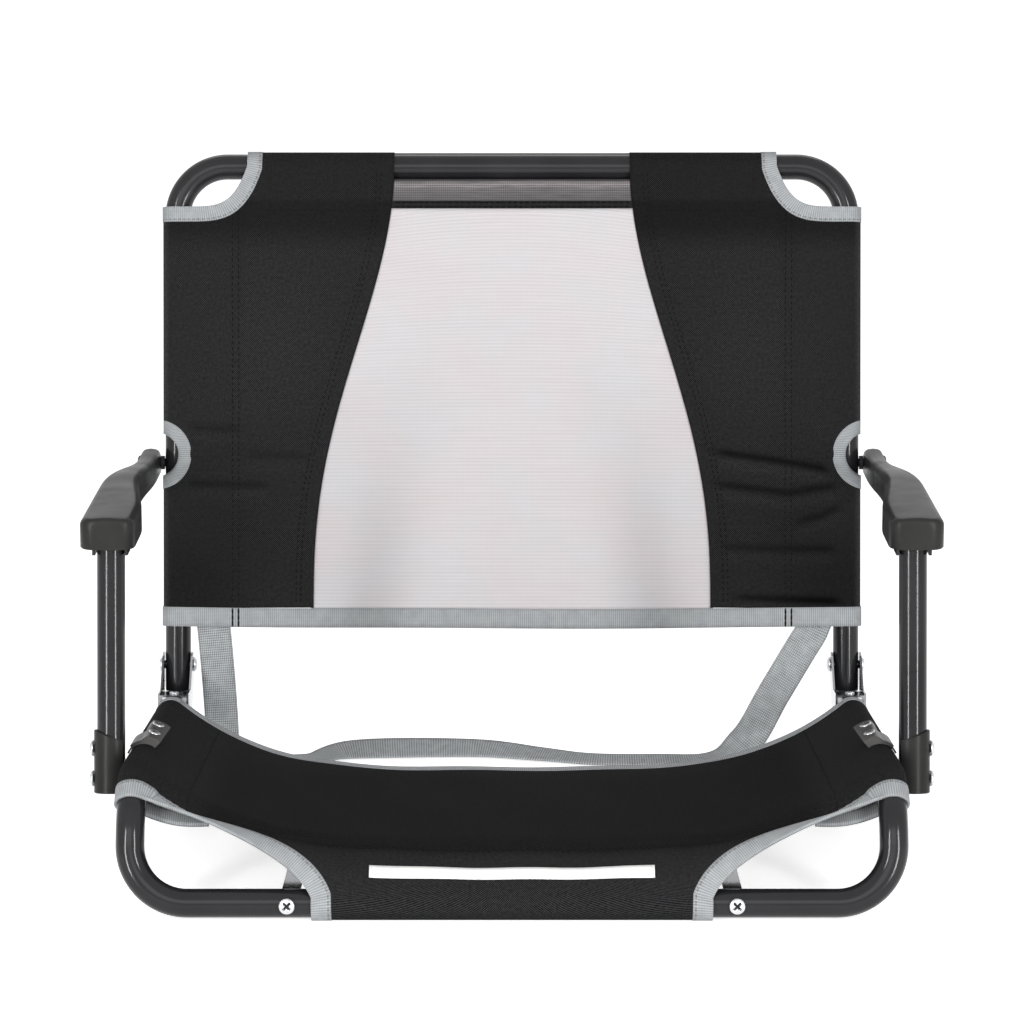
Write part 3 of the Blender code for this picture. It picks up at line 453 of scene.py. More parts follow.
def cross_head(seat, axis, reach, shank=0.003, radius=0.0055, height=0.0028, recess=True):
    """A screw: a domed head over a plain shank, with a cross recess pressed through it. A rivet has none."""
    axis = unit(np.array(axis, float))
    across = np.array(Vector(axis).orthogonal().normalized())
    other = np.cross(axis, across)
    share = np.linspace(0, 1, 26)[:, None]
    angle = np.linspace(0, 2 * math.pi, 65)[None, :] + 0.5
    x, y = share * np.cos(angle), share * np.sin(angle)
    rise = height * np.sqrt(np.maximum(1 - 0.80 * share**2 - 0.20 * share**12, 0)) + 0 * angle
    if recess:
        arm, far = np.minimum(np.abs(x), np.abs(y)), np.maximum(np.abs(x), np.abs(y))
        rise = rise - 1.3 * height * (1 - smooth(arm, 0.11, 0.16)) * (1 - smooth(far, 0.56, 0.62))
    head = radius * (x[..., None] * across + y[..., None] * other) + rise[..., None] * axis
    ring = np.cos(angle)[..., None] * across + np.sin(angle)[..., None] * other
    rims = np.array([[radius, 0.0], [shank, 0.0], [shank, -reach], [0.0, -reach]])
    stem = rims[:, 0][:, None, None] * ring + rims[:, 1][:, None, None] * axis
    return patch(np.array(seat, float) + np.concatenate([head, stem]))


def finish_nodes(name, **values):
    """A new material with its node tree and Principled shader, and values for the shader's inputs by name."""
    material = bpy.data.materials.new(name)
    material.use_nodes = True
    tree = material.node_tree
    shader = tree.nodes["Principled BSDF"]
    for key, value in values.items():
        shader.inputs[key.replace("_", " ")].default_value = value
    return material, tree, shader


def add_node(tree, kind, vector=None, **settings):
    """A node with its plain settings, with socket values by socket name, and with any vector linked to it."""
    node = tree.nodes.new(kind)
    for key, value in settings.items():
        if key in node.inputs:
            node.inputs[key].default_value = value
        else:
            setattr(node, key, value)
    if vector is not None:
        tree.links.new(vector, node.inputs["Vector"])
    return node


def place(tree, space, scale=(1, 1, 1)):
    """Texture coordinates through a Mapping node."""
    source = add_node(tree, "ShaderNodeTexCoord")
    return add_node(tree, "ShaderNodeMapping", source.outputs[space], Scale=scale).outputs["Vector"]


def noise(tree, vector, scale, detail, **settings):
    """The value of a noise texture."""
    return add_node(tree, "ShaderNodeTexNoise", vector, Scale=scale, Detail=detail, **settings).outputs["Fac"]


def bands(tree, vector, direction, pitch):
    """Smooth bands of one pitch in metres along one direction of the coordinates."""
    wave = add_node(
        tree, "ShaderNodeTexWave", vector, wave_type="BANDS", bands_direction=direction, wave_profile="SIN",
        Scale=math.pi / 10 / pitch, Distortion=0.0,
    )
    return wave.outputs["Fac"]


def maths(tree, operation, one, two):
    """A Math node on two sockets or numbers."""
    node = add_node(tree, "ShaderNodeMath", operation=operation)
    for socket, value in zip(node.inputs, (one, two)):
        if isinstance(value, (int, float)):
            socket.default_value = value
        else:
            tree.links.new(value, socket)
    return node.outputs[0]


def weighed(tree, *parts):
    """The sum of sockets times their weights, from pairs of both."""
    total, *rest = [maths(tree, "MULTIPLY", socket, weight) for socket, weight in parts]
    for value in rest:
        total = maths(tree, "ADD", total, value)
    return total


def multiplied(tree, one, two):
    """The product of two colours."""
    node = add_node(tree, "ShaderNodeMix", data_type="RGBA", blend_type="MULTIPLY", Factor=1.0)
    tree.links.new(one, node.inputs[6])
    tree.links.new(two, node.inputs[7])
    return node.outputs[2]


def in_view(tree):
    """1 on rays from the camera or by way of gloss or glass, 0 on the rays that carry plain light."""
    path = add_node(tree, "ShaderNodeLightPath").outputs
    mirrored = maths(tree, "MAXIMUM", path["Is Glossy Ray"], path["Is Transmission Ray"])
    return maths(tree, "MAXIMUM", path["Is Camera Ray"], mirrored)


def tint(colour, factor):
    """A colour made lighter or darker."""
    return tuple(min(max(c * factor, 0), 1) for c in colour)


def ramp(tree, value, low, high, span):
    """A colour ramp between two linear colours over a span of the value."""
    node = add_node(tree, "ShaderNodeValToRGB")
    stops = node.color_ramp.elements
    stops[0].position, stops[1].position = span
    stops[0].color, stops[1].color = (*low, 1), (*high, 1)
    tree.links.new(value, node.inputs["Fac"])
    return node.outputs["Color"]


def paint(tree, shader, value, colour, factors, span):
    """Base colour that goes from one factor of a colour to another over a span of the value."""
    low, high = (tint(colour, factor) for factor in factors)
    tree.links.new(ramp(tree, value, low, high, span), shader.inputs["Base Color"])


def roughen(tree, shader, value, low, high, span):
    """Roughness that goes from low to high over a span of the value."""
    tree.links.new(ramp(tree, value, (low,) * 3, (high,) * 3, span), shader.inputs["Roughness"])


def bump(tree, shader, height, strength, distance):
    """Bump from a height value on the shader's normal, after any bump already there."""
    node = add_node(tree, "ShaderNodeBump", Strength=strength, Distance=distance)
    tree.links.new(height, node.inputs["Height"])
    for link in list(tree.links):
        if link.to_socket == shader.inputs["Normal"]:
            tree.links.new(link.from_socket, node.inputs["Normal"])
    tree.links.new(node.outputs["Normal"], shader.inputs["Normal"])


def steel_finish(colour):
    """Glossy powder coat: near black, with a faint orange peel and uneven gloss."""
    material, tree, shader = finish_nodes("powder_coat", Specular_IOR_Level=0.25)
    vector = place(tree, "Object")
    broad = noise(tree, vector, 24.0, 3.0)
    paint(tree, shader, broad, colour, (0.82, 1.2), (0.3, 0.7))
    roughen(tree, shader, broad, 0.13, 0.19, (0.3, 0.7))
    bump(tree, shader, noise(tree, vector, 420.0, 2.0), 0.015, 0.0002)
    return material


def metal_finish(name, colour, roughness):
    """Bright plated metal with fine brushed variation."""
    material, tree, shader = finish_nodes(name, Metallic=1.0)
    grain = noise(tree, place(tree, "Object", (1, 1, 14)), 300.0, 3.0)
    paint(tree, shader, grain, colour, (0.85, 1.06), (0.35, 0.65))
    roughen(tree, shader, grain, roughness * 0.8, roughness * 1.3, (0.35, 0.65))
    return material


def plastic_finish(name, colour, roughness):
    """Moulded plastic with a fine spark-eroded grain."""
    material, tree, shader = finish_nodes(name, Specular_IOR_Level=0.10)
    vector = place(tree, "Object")
    broad = noise(tree, vector, 35.0, 4.0)
    paint(tree, shader, broad, colour, (0.85, 1.15), (0.3, 0.7))
    roughen(tree, shader, broad, roughness - 0.05, roughness + 0.06, (0.3, 0.7))
    bump(tree, shader, noise(tree, vector, 900.0, 2.0), 0.15, 0.0002)
    return material


def thread_finish(colour):
    """Matt twisted thread."""
    material, tree, shader = finish_nodes("black_thread", Roughness=0.9, Specular_IOR_Level=0.05)
    twist = noise(tree, place(tree, "Object"), 1500.0, 2.0)
    paint(tree, shader, twist, colour, (0.4, 1.3), (0.3, 0.7))
    return material


def weave_finish(name, colour, gloss, pitch=0.0015, strength=0.7, contrast=1.0):
    """Plain weave on the cloth's own uvs: over and under threads with slubs, made darker or paler by the
    share of painted shade and light that the cloth keeps on its points as shade."""
    material, tree, shader = finish_nodes(name, Roughness=0.82, Specular_IOR_Level=gloss)
    vector = place(tree, "UV")
    across, along = bands(tree, vector, "X", pitch), bands(tree, vector, "Y", pitch)
    under = [maths(tree, "SUBTRACT", 1.0, value) for value in (across, along)]
    over = maths(tree, "MAXIMUM", maths(tree, "MULTIPLY", across, along), maths(tree, "MULTIPLY", *under))
    slub = noise(tree, vector, 420.0, 3.0, Roughness=0.7)
    mixed = weighed(tree, (over, 0.55), (slub, 0.45))
    dyed = ramp(tree, mixed, tint(colour, 1 - contrast), tint(colour, 1 + contrast), (0.28, 0.68))
    # The shade attribute scales the dye by painted shade and light.
    shade = add_node(tree, "ShaderNodeAttribute", attribute_name="shade")
    toned = add_node(tree, "ShaderNodeVectorMath", dyed, operation="SCALE")
    tree.links.new(maths(tree, "ADD", shade.outputs["Fac"], 1.0), toned.inputs["Scale"])
    tree.links.new(toned.outputs["Vector"], shader.inputs["Base Color"])
    bump(tree, shader, over, strength, 0.0003)
    bump(tree, shader, slub, strength * 0.5, 0.0004)
    return material


def ribbed_finish(name, colour, pitch, seam=0.0):
    """Grosgrain: fine ribs across the tape and threads along it, and any row of stitches at a distance in."""
    material, tree, shader = finish_nodes(name, Roughness=0.8, Sheen_Weight=0.1)
    vector = place(tree, "UV")
    ribs, threads = bands(tree, vector, "Y", pitch), bands(tree, vector, "X", pitch * 0.7)
    height = weighed(tree, (ribs, 0.7), (threads, 0.3))
    mixed = weighed(tree, (height, 0.6), (noise(tree, vector, 130.0, 4.0), 0.4))
    if seam:
        inward = add_node(tree, "ShaderNodeSeparateXYZ", vector).outputs["X"]
        far = maths(tree, "ABSOLUTE", maths(tree, "SUBTRACT", inward, seam), 0.0)
        dash = maths(tree, "GREATER_THAN", bands(tree, vector, "Y", 0.0034), 0.25)
        row = maths(tree, "MULTIPLY", maths(tree, "LESS_THAN", far, 0.00055), dash)
        mixed = maths(tree, "SUBTRACT", mixed, maths(tree, "MULTIPLY", row, 0.35))
    paint(tree, shader, mixed, colour, (0.42, 1.28), (0.05, 0.75))
    bump(tree, shader, height, 0.5, 0.0003)
    return material


def mesh_finish(colour):
    """Fine pale netting: level threads with small gaps, a little see-through."""
    material, tree, shader = finish_nodes("pale_mesh", Roughness=0.75, Alpha=0.86)
    vector = place(tree, "UV")
    level, upright = bands(tree, vector, "Y", 0.0026), bands(tree, vector, "X", 0.0013)
    fine = bands(tree, vector, "Y", 0.0009)
    height = weighed(tree, (level, 0.6), (upright, 0.4))
    cloud = noise(tree, vector, 18.0, 2.0)
    uneven = noise(tree, place(tree, "UV", (4, 150, 1)), 4.0, 3.0)
    mixed = weighed(tree, (height, 0.5), (fine, 0.2), (cloud, 0.1), (uneven, 0.4))
    yarn = ramp(tree, mixed, tint(colour, 0.87), tint(colour, 1.06), (0.3, 0.75))
    tinge = ramp(tree, cloud, (1.0, 0.965, 0.975), (0.965, 0.99, 1.0), (0.35, 0.65))
    tree.links.new(multiplied(tree, yarn, tinge), shader.inputs["Base Color"])
    bump(tree, shader, height, 0.25, 0.0003)
    return material


def net_finish(colour):
    """Doubled netting under the bar: satin grey with a bright level streak, and fine threads across it."""
    material, tree, shader = finish_nodes("doubled_net", Roughness=0.45)
    vector = place(tree, "UV")
    level = add_node(tree, "ShaderNodeSeparateXYZ", vector).outputs["Y"]
    waves = maths(tree, "SUBTRACT", noise(tree, vector, 26.0, 2.0), 0.5)
    satin = add_node(tree, "ShaderNodeValToRGB")
    stops = satin.color_ramp.elements
    for position in (0.30, 0.62, 0.80):
        stops.new(position)
    for stop, factor in zip(stops, (0.55, 0.75, 1.0, 2.1, 0.7)):
        stop.color = (*tint(colour, factor), 1)
    tree.links.new(weighed(tree, (level, 1 / NET_RISE), (waves, 0.3)), satin.inputs["Fac"])
    fine, upright = bands(tree, vector, "Y", 0.0018), bands(tree, vector, "X", 0.0016)
    streaks = noise(tree, place(tree, "UV", (1, 12, 1)), 60.0, 4.0)
    threads = weighed(tree, (fine, 0.3), (upright, 0.25), (streaks, 0.55))
    yarn = ramp(tree, threads, (0.22, 0.20, 0.22), (1.25, 1.2, 1.2), (0.3, 0.75))
    tree.links.new(multiplied(tree, satin.outputs["Color"], yarn), shader.inputs["Base Color"])
    bump(tree, shader, threads, 0.3, 0.0003)
    return material


def webbing_finish(name, colour, pitch):
    """Open strap webbing: round threads both ways, with small dark gaps between them."""
    material, tree, shader = finish_nodes(name, Roughness=0.8)
    vector = place(tree, "UV")
    rows, cols = bands(tree, vector, "Y", pitch), bands(tree, vector, "X", pitch * 0.8)
    lesser, product = maths(tree, "MINIMUM", rows, cols), maths(tree, "MULTIPLY", rows, cols)
    grid = weighed(tree, (lesser, 0.6), (product, 0.4))
    mixed = weighed(tree, (grid, 0.7), (noise(tree, vector, 150.0, 4.0), 0.3))
    paint(tree, shader, mixed, colour, (0.42, 1.5), (0.10, 0.5))
    bump(tree, shader, grid, 0.8, 0.0005)
    return material


# Each look's slot, or None where only solids of the frame wear it, and how its material is made
LOOKS = {
    "steel": ("black_steel", lambda c: steel_finish(c.steel)),
    "bolt": ("black_steel", lambda c: plastic_finish("black_bolt", c.steel, 0.38)),
    "zinc": ("zinc_screws", lambda c: metal_finish("zinc_plate", c.zinc, 0.26)),
    # Hook and brackets are darker copies of the zinc: painted shade and reflection where they sit in shadow.
    "hook": (None, lambda c: metal_finish("hook_zinc_painted_shade", tint(c.zinc, 0.40), 0.22)),
    "bracket": (None, lambda c: metal_finish("bracket_zinc_painted_shade", tint(c.zinc, 0.60), 0.16)),
    "plastic": ("grey_plastic", lambda c: plastic_finish("moulded_plastic", c.plastic, 0.34)),
    "clip": ("grey_plastic", lambda c: plastic_finish("moulded_clip", tint(c.plastic, 3.5), 0.38)),
    "cloth": ("black_fabric", lambda c: weave_finish("black_weave", tint(c.cloth, 1.1), 0.06)),
    # The seat's cloth is a slightly darker copy of the back's, as painted shade, and less glossy.
    "seat": ("black_fabric", lambda c: weave_finish("seat_weave_painted_shade", tint(c.cloth, 1.05), 0.02)),
    "thread": ("black_fabric", lambda c: thread_finish(c.thread)),
    "tape": ("grey_webbing", lambda c: ribbed_finish("binding_tape", c.tape, 0.00145, 0.0106)),
    "back_tape": ("grey_webbing", lambda c: ribbed_finish("back_tape", c.tape, 0.00145, 0.0088)),
    "hem": ("grey_webbing", lambda c: ribbed_finish("hem_tape", c.tape, 0.00145)),
    "strap": ("grey_webbing", lambda c: webbing_finish("strap_webbing", tint(c.tape, 1.12), 0.0018)),
    "mesh": ("white_mesh", lambda c: mesh_finish(c.mesh)),
    "net": ("white_mesh", lambda c: net_finish(c.net)),
    "label": ("white_mesh", lambda c: weave_finish("label_tape", c.label, 0.16, 0.0007, 0.15, 0.06)),
}
MADE = {}


def finish(look):
    """The material of a look, made once."""
    if look not in MADE:
        MADE[look] = LOOKS[look][1](bpy.context.scene.chair_finishes)
    return MADE[look]


def seat_edge():
    """Half width, height and angle of the hanging seat where it leaves the rail."""
    angle = 0.0
    for _ in range(30):
        half = RAIL_X - WRAP * math.sin(angle)
        angle = math.atan(4 * SAG / half)
    return half, RAIL_Z + WRAP * math.cos(angle), angle


SEAT_HALF, SEAT_EDGE, SEAT_ANGLE = seat_edge()


def sleeve_point(side, angle, run):
    """The sleeve round a rail and over its bend: the angle turns outwards from the rail's top; run is a
    length along the rail, ahead of the bend's start where it is above 0."""
    turn = np.maximum(run, 0) / LOOP_BEND
    reach = LOOP_BEND + WRAP * np.cos(angle)
    y = BEND_Y - np.minimum(run, 0) - reach * np.sin(turn)
    return stack(side * (RAIL_X + WRAP * np.sin(angle)), y, RAIL_Z - LOOP_BEND + reach * np.cos(turn))


def bezier(one, two, three, four, share):
    """Points on a cubic Bezier curve; the share has a last axis of length 1."""
    rest = 1 - share
    one, two, three, four = (np.array(p, float) for p in (one, two, three, four))
    return rest**3 * one + 3 * rest**2 * share * two + 3 * rest * share**2 * three + share**3 * four


def seat_point(share, roll):
    """The seat between the rails: share runs across from -1 to 1; roll is 0 where the rails start to bend,
    1 where the cloth meets the front bar, and below 0 to the rear. Rows hang between a middle line and an
    edge, as an even power of the share. The middle falls to the bar as a Bezier curve. The edge stays on
    the sleeves over their bends, then leaves them along the cut-out, a second Bezier curve. Soft folds are
    sine waves of the depth and the share, fullest near the sides."""
    wrinkle = bpy.context.scene.chair_sewing.wrinkle
    share, roll = np.broadcast_arrays(np.asarray(share, float), np.asarray(roll, float))
    ahead = np.clip(roll, 0, 1)[..., None]
    low = (0, BAR_Y - WRAP * math.sin(ROLL_END), BAR_Z + WRAP * math.cos(ROLL_END))
    above = (0, low[1] + ROLL * math.cos(ROLL_END), low[2] + ROLL * math.sin(ROLL_END))
    level = SEAT_EDGE - SAG
    middle = bezier((0, BEND_Y, level), (0, BEND_Y - LEVEL, level), above, low, ahead)
    run = SLEEVE_RUN * np.minimum(ahead[..., 0] / TURN_SHARE, 1)
    leave = sleeve_point(1, -SEAT_ANGLE, np.array(SLEEVE_RUN))
    cut = np.clip((ahead - TURN_SHARE) / (1 - TURN_SHARE), 0, 1)
    edge = bezier(leave, CUT_ONE, CUT_TWO, (BAR_HALF, low[1], low[2]), cut)
    edge = np.where(ahead <= TURN_SHARE, sleeve_point(1, -SEAT_ANGLE, run), edge)
    hang = np.abs(share)**(4 - 1.6 * ahead[..., 0])
    y = middle[..., 1] + (edge[..., 1] - middle[..., 1]) * hang - np.minimum(roll, 0)
    z = middle[..., 2] + (edge[..., 2] - middle[..., 2]) * hang
    inner = (1 - share**2) * (1 - ahead[..., 0]**4)
    folds = np.sin(38 * y + 2.2 * np.cos(7 * share)) * np.exp(-((np.abs(share) - 0.72) / 0.2)**2)
    folds = folds + 0.5 * np.sin(15 * share + 30 * y)
    return stack(share * edge[..., 0], y, z + 0.55 * wrinkle * inner * folds)


def bar_point(x, angle):
    """The sleeve round the front bar: the angle turns forwards from the bar's top."""
    return stack(x, BAR_Y - WRAP * np.sin(angle), BAR_Z + WRAP * np.cos(angle))


def mesh_edge(height):
    """Half width of the mesh at a height along the back."""
    return MESH_LOW + (MESH_TOP - MESH_LOW) * smooth(height, HEM_HIGH, BACK_TOP)**1.4


def back_depth(x, height):
    """Depth of the back cloth: in front of the tubes at its edges, with a shallow belly between."""
    rise = np.clip((height - HEM_LOW) / (BACK_TOP - HEM_LOW), 0, 1)
    return -WRAP + BELLY * (1 - (x / RAIL_X)**2) * np.sin(math.pi * rise)


def panel_top(x):
    """Upper end of a side panel: the top bar, or outside it the corner cut, a power of the way in from the
    tube."""
    share = np.clip((RAIL_X - x) / (RAIL_X - CORNER_X), 0, 1)
    return SIDE_TOP + (BACK_TOP - SIDE_TOP) * share**CORNER_POWER


def creases(side, x, height):
    """How far a point of a panel lies in a crease's valley and on the ridge below it, each 0 to 1: bell
    curves of the height above the crease's line, faded at its ends and round the notch's tape."""
    valley = ridge = np.zeros(np.broadcast(x, height).shape)
    for where, depth, line in CREASES:
        if where != side:
            continue
        spots, levels = np.array(line).T
        above = height - np.interp(x, spots, levels)
        ends = smooth(x, spots[0], spots[0] + 0.016) * (1 - smooth(x, spots[-1] - 0.012, spots[-1]))
        valley = valley + depth * ends * np.exp(-(above / 0.0030)**2)
        ridge = ridge + depth * ends * np.exp(-((above + 0.0075) / 0.0048)**2)
    away = smooth(np.hypot(x - NOTCH_X, height - NOTCH_Z), 0.028, 0.036)
    return valley * away, ridge * away


def panel_painted_light(side, points):
    """Share by which a side panel is painted darker or paler than its dye, as painted shade and light: shade
    in the creases, below the bar's seam, low down beside the tube and a little over the whole right panel,
    and painted highlights on the ridges, in a patch mid-panel and where it turns round the tube's outside."""
    x, height = side * points[:, 0], points[:, 2]
    valley, ridge = creases(side, x, height)
    # Painted shade in the creases and painted light on the ridges below them; the right panel painted a
    # little darker.
    share = 0.25 * ridge - 0.75 * valley - (0.10 if side > 0 else 0.0)
    share -= 0.45 * smooth(height, 0.306, 0.332) * (1 - 0.5 * smooth(height, 0.346, 0.349))
    share -= 0.42 * (1 - smooth(height, 0.06, 0.15)) * smooth(x, 0.165, 0.240)
    share += 0.22 * np.exp(-((height - 0.24) / 0.07)**2 - ((x - 0.18) / 0.05)**2)
    # Painted highlight where the sleeve turns round the tube's outside.
    return share + 1.1 * smooth(x, RAIL_X + 0.0045, RAIL_X + 0.0090)


def seat_painted_light(points):
    """Share by which the seat is painted darker or paler than its dye, as painted shade and light: shade
    between the two wing seams, fading out at the rear edge, and painted light on the wings and from the front
    seam down."""
    x, y = np.abs(points[:, 0]), points[:, 1]
    seam = seat_point(np.linspace(0, 1, 60), SEAM_ROLLS[0])
    front = smooth(np.interp(x, seam[:, 0], seam[:, 1]) - y, -0.002, 0.010)
    middle = 1 - smooth(x, SEAT_HALF * WING - 0.022, SEAT_HALF * WING)
    rear = smooth(y, SEAT_REAR - 0.07, SEAT_REAR)
    return 0.30 * front + (1 - front) * (0.20 * (1 - middle) - middle * 0.22 * (1 - rear))


def mark_painted_light(item, matrix, shade):
    """Keep on each point of a cloth the share of painted shade or light by which it is darker or paler, from
    its place on its body.
    """
    points = np.empty(len(item.data.vertices) * 3, dtype=np.float32)
    item.data.vertices.foreach_get("co", points)
    share = shade(carried(points.reshape(-1, 3), matrix.inverted()))
    layer = item.data.attributes.new("shade", "FLOAT", "POINT")
    layer.data.foreach_set("value", share.astype(np.float32))


def panel_point(side, across, rise):
    """A side panel between the tube and the mesh: across is 0 at the tube and 1 at the mesh, rise is 0 at
    the hem and 1 at the panel's upper end. Soft folds run down from the bar and in from the tube."""
    wrinkle = bpy.context.scene.chair_sewing.wrinkle
    top = panel_top(RAIL_X - across * (RAIL_X - MESH_TOP))
    height = HEM_HIGH + HEM_GAP + (top - HEM_HIGH - HEM_GAP) * rise
    x = RAIL_X + (mesh_edge(height) - RAIL_X) * across
    inner = np.clip(across * 6, 0, 1) * np.clip((1 - across) * 12, 0, 1)
    inner = inner * np.sin(math.pi * np.clip(rise, 0, 1))
    folds = np.sin(55 * x + 16 * height) * np.exp(-((height - 0.29) / 0.07)**2)
    folds = folds + 0.8 * np.sin(70 * height + 25 * x) * np.exp(-((height - 0.13) / 0.06)**2)
    valley, ridge = creases(side, x, height)
    folds = folds + 1.1 * valley - 0.9 * ridge
    return stack(side * x, back_depth(x, height) + wrinkle * inner * folds, height)


def side_point(side, angle, height):
    """The panel's sleeve round a side tube: the angle turns outwards from the tube's front."""
    return stack(side * (RAIL_X + WRAP * np.sin(angle)), -WRAP * np.cos(angle), height)


def top_point(x, angle):
    """The sleeve round the top bar: the angle turns upwards from the bar's front."""
    return stack(x, -WRAP * np.cos(angle), BACK_TOP + WRAP * np.sin(angle))


def slopes(surface, one, two, step=1e-5):
    """How a surface of two parameters moves with each of them."""
    slope_one = (surface(one + step, two) - surface(one - step, two)) / (2 * step)
    slope_two = (surface(one, two + step) - surface(one, two - step)) / (2 * step)
    return slope_one, slope_two


def edge_tape(surface, one, two, width, steps=5):
    """A strip of tape along a curve on a surface of two parameters: at each point the step square to the
    curve and within the surface, to the side where the second parameter grows, is solved from the
    surface's slopes, and followed inwards by the width."""
    two = np.full(len(one), two)
    base = surface(one, two)
    slope_one, slope_two = slopes(surface, one, two)
    along = unit(np.gradient(base, axis=0))
    across = np.cross(unit(np.cross(slope_one, slope_two)), along)
    across *= np.sign(np.sum(across * slope_two, axis=-1, keepdims=True))
    both = np.stack([slope_one, slope_two], axis=-1)
    shift = np.einsum("nij,nj->ni", np.linalg.pinv(both), across)
    distance = np.linspace(-TAPE_OVER, width, steps)
    points = surface(one[:, None] + shift[:, :1] * distance, two[:, None] + shift[:, 1:] * distance)
    return patch(points, stack(distance[None, :], run_along(base)[:, None]))


def eased(vectors, reach=5):
    """Unit vectors averaged with their neighbours along a row."""
    wide = np.pad(vectors, ((reach, reach), (0, 0)), mode="edge")
    return unit(sum(wide[k:k + len(vectors)] for k in range(2 * reach + 1)))


def marched_tape(cloth, legs, width, steps=6, spacing=0.0015):
    """A strip of tape along a free edge of a cloth. The edge comes in legs, each a row of points and a row
    of directions into the cloth, and is read at an even spacing. From it each step goes inwards square to
    the edge, is dropped back to the nearest point of the cloth, and takes the slope of the cloth there."""
    points, quads, _ = joined(cloth)
    tree = BVHTree.FromPolygons(points.tolist(), quads.tolist())
    edge = np.concatenate([leg for leg, _ in legs])
    inward = np.concatenate([unit(np.broadcast_to(np.array(way, float), leg.shape)) for leg, way in legs])
    length = run_along(edge) + 1e-9 * np.arange(len(edge))
    run = np.linspace(0, length[-1], math.ceil(length[-1] / spacing))
    base, inward = (np.stack([np.interp(run, length, v) for v in row.T], axis=-1) for row in (edge, inward))
    along = eased(np.gradient(base, axis=0))
    way = eased(inward - along * np.sum(inward * along, axis=-1, keepdims=True))
    rows = [base - TAPE_OVER * way, base]
    for _ in range(steps):
        hits = [tree.find_nearest(p) for p in (rows[-1] + way * width / steps).tolist()]
        normal = np.array([hit[1] for hit in hits])
        rows.append(np.array([hit[0] for hit in hits]))
        way = unit(way - normal * np.sum(way * normal, axis=-1, keepdims=True))
    distance = np.concatenate([[-TAPE_OVER], np.linspace(0, width, steps + 1)])
    return patch(np.stack(rows, axis=1), stack(distance[None, :], run[:, None]))


def stitches(surface, one, two, length=None):
    """Rows of short raised threads along a curve on a surface: capsule shapes set end to end."""
    sewing = bpy.context.scene.chair_sewing
    one, two = np.broadcast_arrays(one, two)
    fine = surface(one, two)
    run = run_along(fine)
    at = np.arange(sewing.stitch_pitch / 2, run[-1], sewing.stitch_pitch)
    p, q = np.interp(at, run, one), np.interp(at, run, two)
    normal = unit(np.cross(*slopes(surface, p, q)))
    along = unit(np.stack([np.interp(at, run, g) for g in np.gradient(fine, axis=0).T], axis=-1))
    rise = np.linspace(-1, 1, 5)[:, None]
    girth = np.sqrt(1 - 0.8 * rise**2)
    turn = np.linspace(0, 2 * math.pi, 7)[None, :]
    wide, tall = STITCH_HALF_WIDTH * np.cos(turn), STITCH_HEIGHT * np.sin(turn)
    local = stack(rise * (length or sewing.stitch) / 2, girth * wide, girth * tall)
    axes = np.stack([along, np.cross(normal, along), normal], axis=1)
    points = surface(p, q)[:, None, None, :] + np.einsum("rck,nkj->nrcj", local, axes)
    return [patch(grid) for grid in points]


def notch_tape(side, width):
    """The tape round the elbow notch, in rings about the notch's middle: a strip over the panel and the
    front of its sleeve, and one above and one below the opening behind the tube."""
    ring = np.linspace(-0.0006, width - 0.0015, 6) + NOTCH_R
    limit = np.arccos((NOTCH_X - RAIL_X - WRAP) / ring)
    begin = np.arccos(np.minimum((NOTCH_X - RAIL_X) / ring, 1))
    behind = begin + (limit - begin) * np.linspace(0, 1, 20)[:, None]
    strips = []
    for swing in (np.linspace(-1, 1, 60)[:, None] * limit, -behind, behind):
        x, z = NOTCH_X - ring * np.cos(swing), NOTCH_Z + ring * np.sin(swing)
        depth = np.sqrt(np.maximum(WRAP**2 - np.maximum(x - RAIL_X, 0)**2, 0))
        if not strips:
            depth = np.where(x > RAIL_X, -depth, back_depth(x, z))
        strips.append(patch(stack(side * x, depth, z), stack(ring[None, :], swing * ring)))
    return strips


def through(knots, steps):
    """A Catmull-Rom curve through rows of numbers."""
    ends = np.concatenate([knots[:1], knots, knots[-1:]])
    a, b, c, d = (ends[i:len(ends) - 3 + i][:, None, :] for i in range(4))
    t = (np.arange(steps) / steps)[None, :, None]
    bend, twist = 2 * a - 5 * b + 4 * c - d, 3 * b - a - 3 * c + d
    curve = 0.5 * (2 * b + (c - a) * t + bend * t**2 + twist * t**3)
    return np.concatenate([curve.reshape(-1, knots.shape[1]), knots[-1:]])


def rounded(radius, past):
    """How far an end of one radius has fallen away, a length past the start of its curve."""
    return radius - np.sqrt(np.maximum(radius**2 - past**2, 0))


def arm_ring(along):
    """An armrest's outer edge, inner edge, top and floor at distances from its front end: S curves between
    the ends, and quarter circles at the nose, the brow above it and the tail."""
    outer = ARM_HALF + (ARM_OUTER_END - ARM_HALF) * smooth(along, 0.130, 0.275)
    inner = ARM_HALF + (ARM_INNER_END - ARM_HALF) * smooth(along, 0.045, 0.160)
    fall = smooth(along, 0.150, 0.290)
    top = ARM_TOPS[0] + (ARM_TOPS[1] - ARM_TOPS[0]) * fall
    floor = ARM_FLOORS[0] + (ARM_FLOORS[1] - ARM_FLOORS[0]) * fall
    tuck = rounded(ARM_NOSE, ARM_NOSE - np.minimum(along, ARM_NOSE))
    dip = rounded(ARM_BROW, ARM_BROW - np.minimum(along, ARM_BROW))
    pinch = rounded(ARM_TAIL, np.maximum(along - (ARM_LENGTH - ARM_TAIL), 0))
    return outer - tuck, -(inner - tuck), top - pinch - dip, floor + pinch


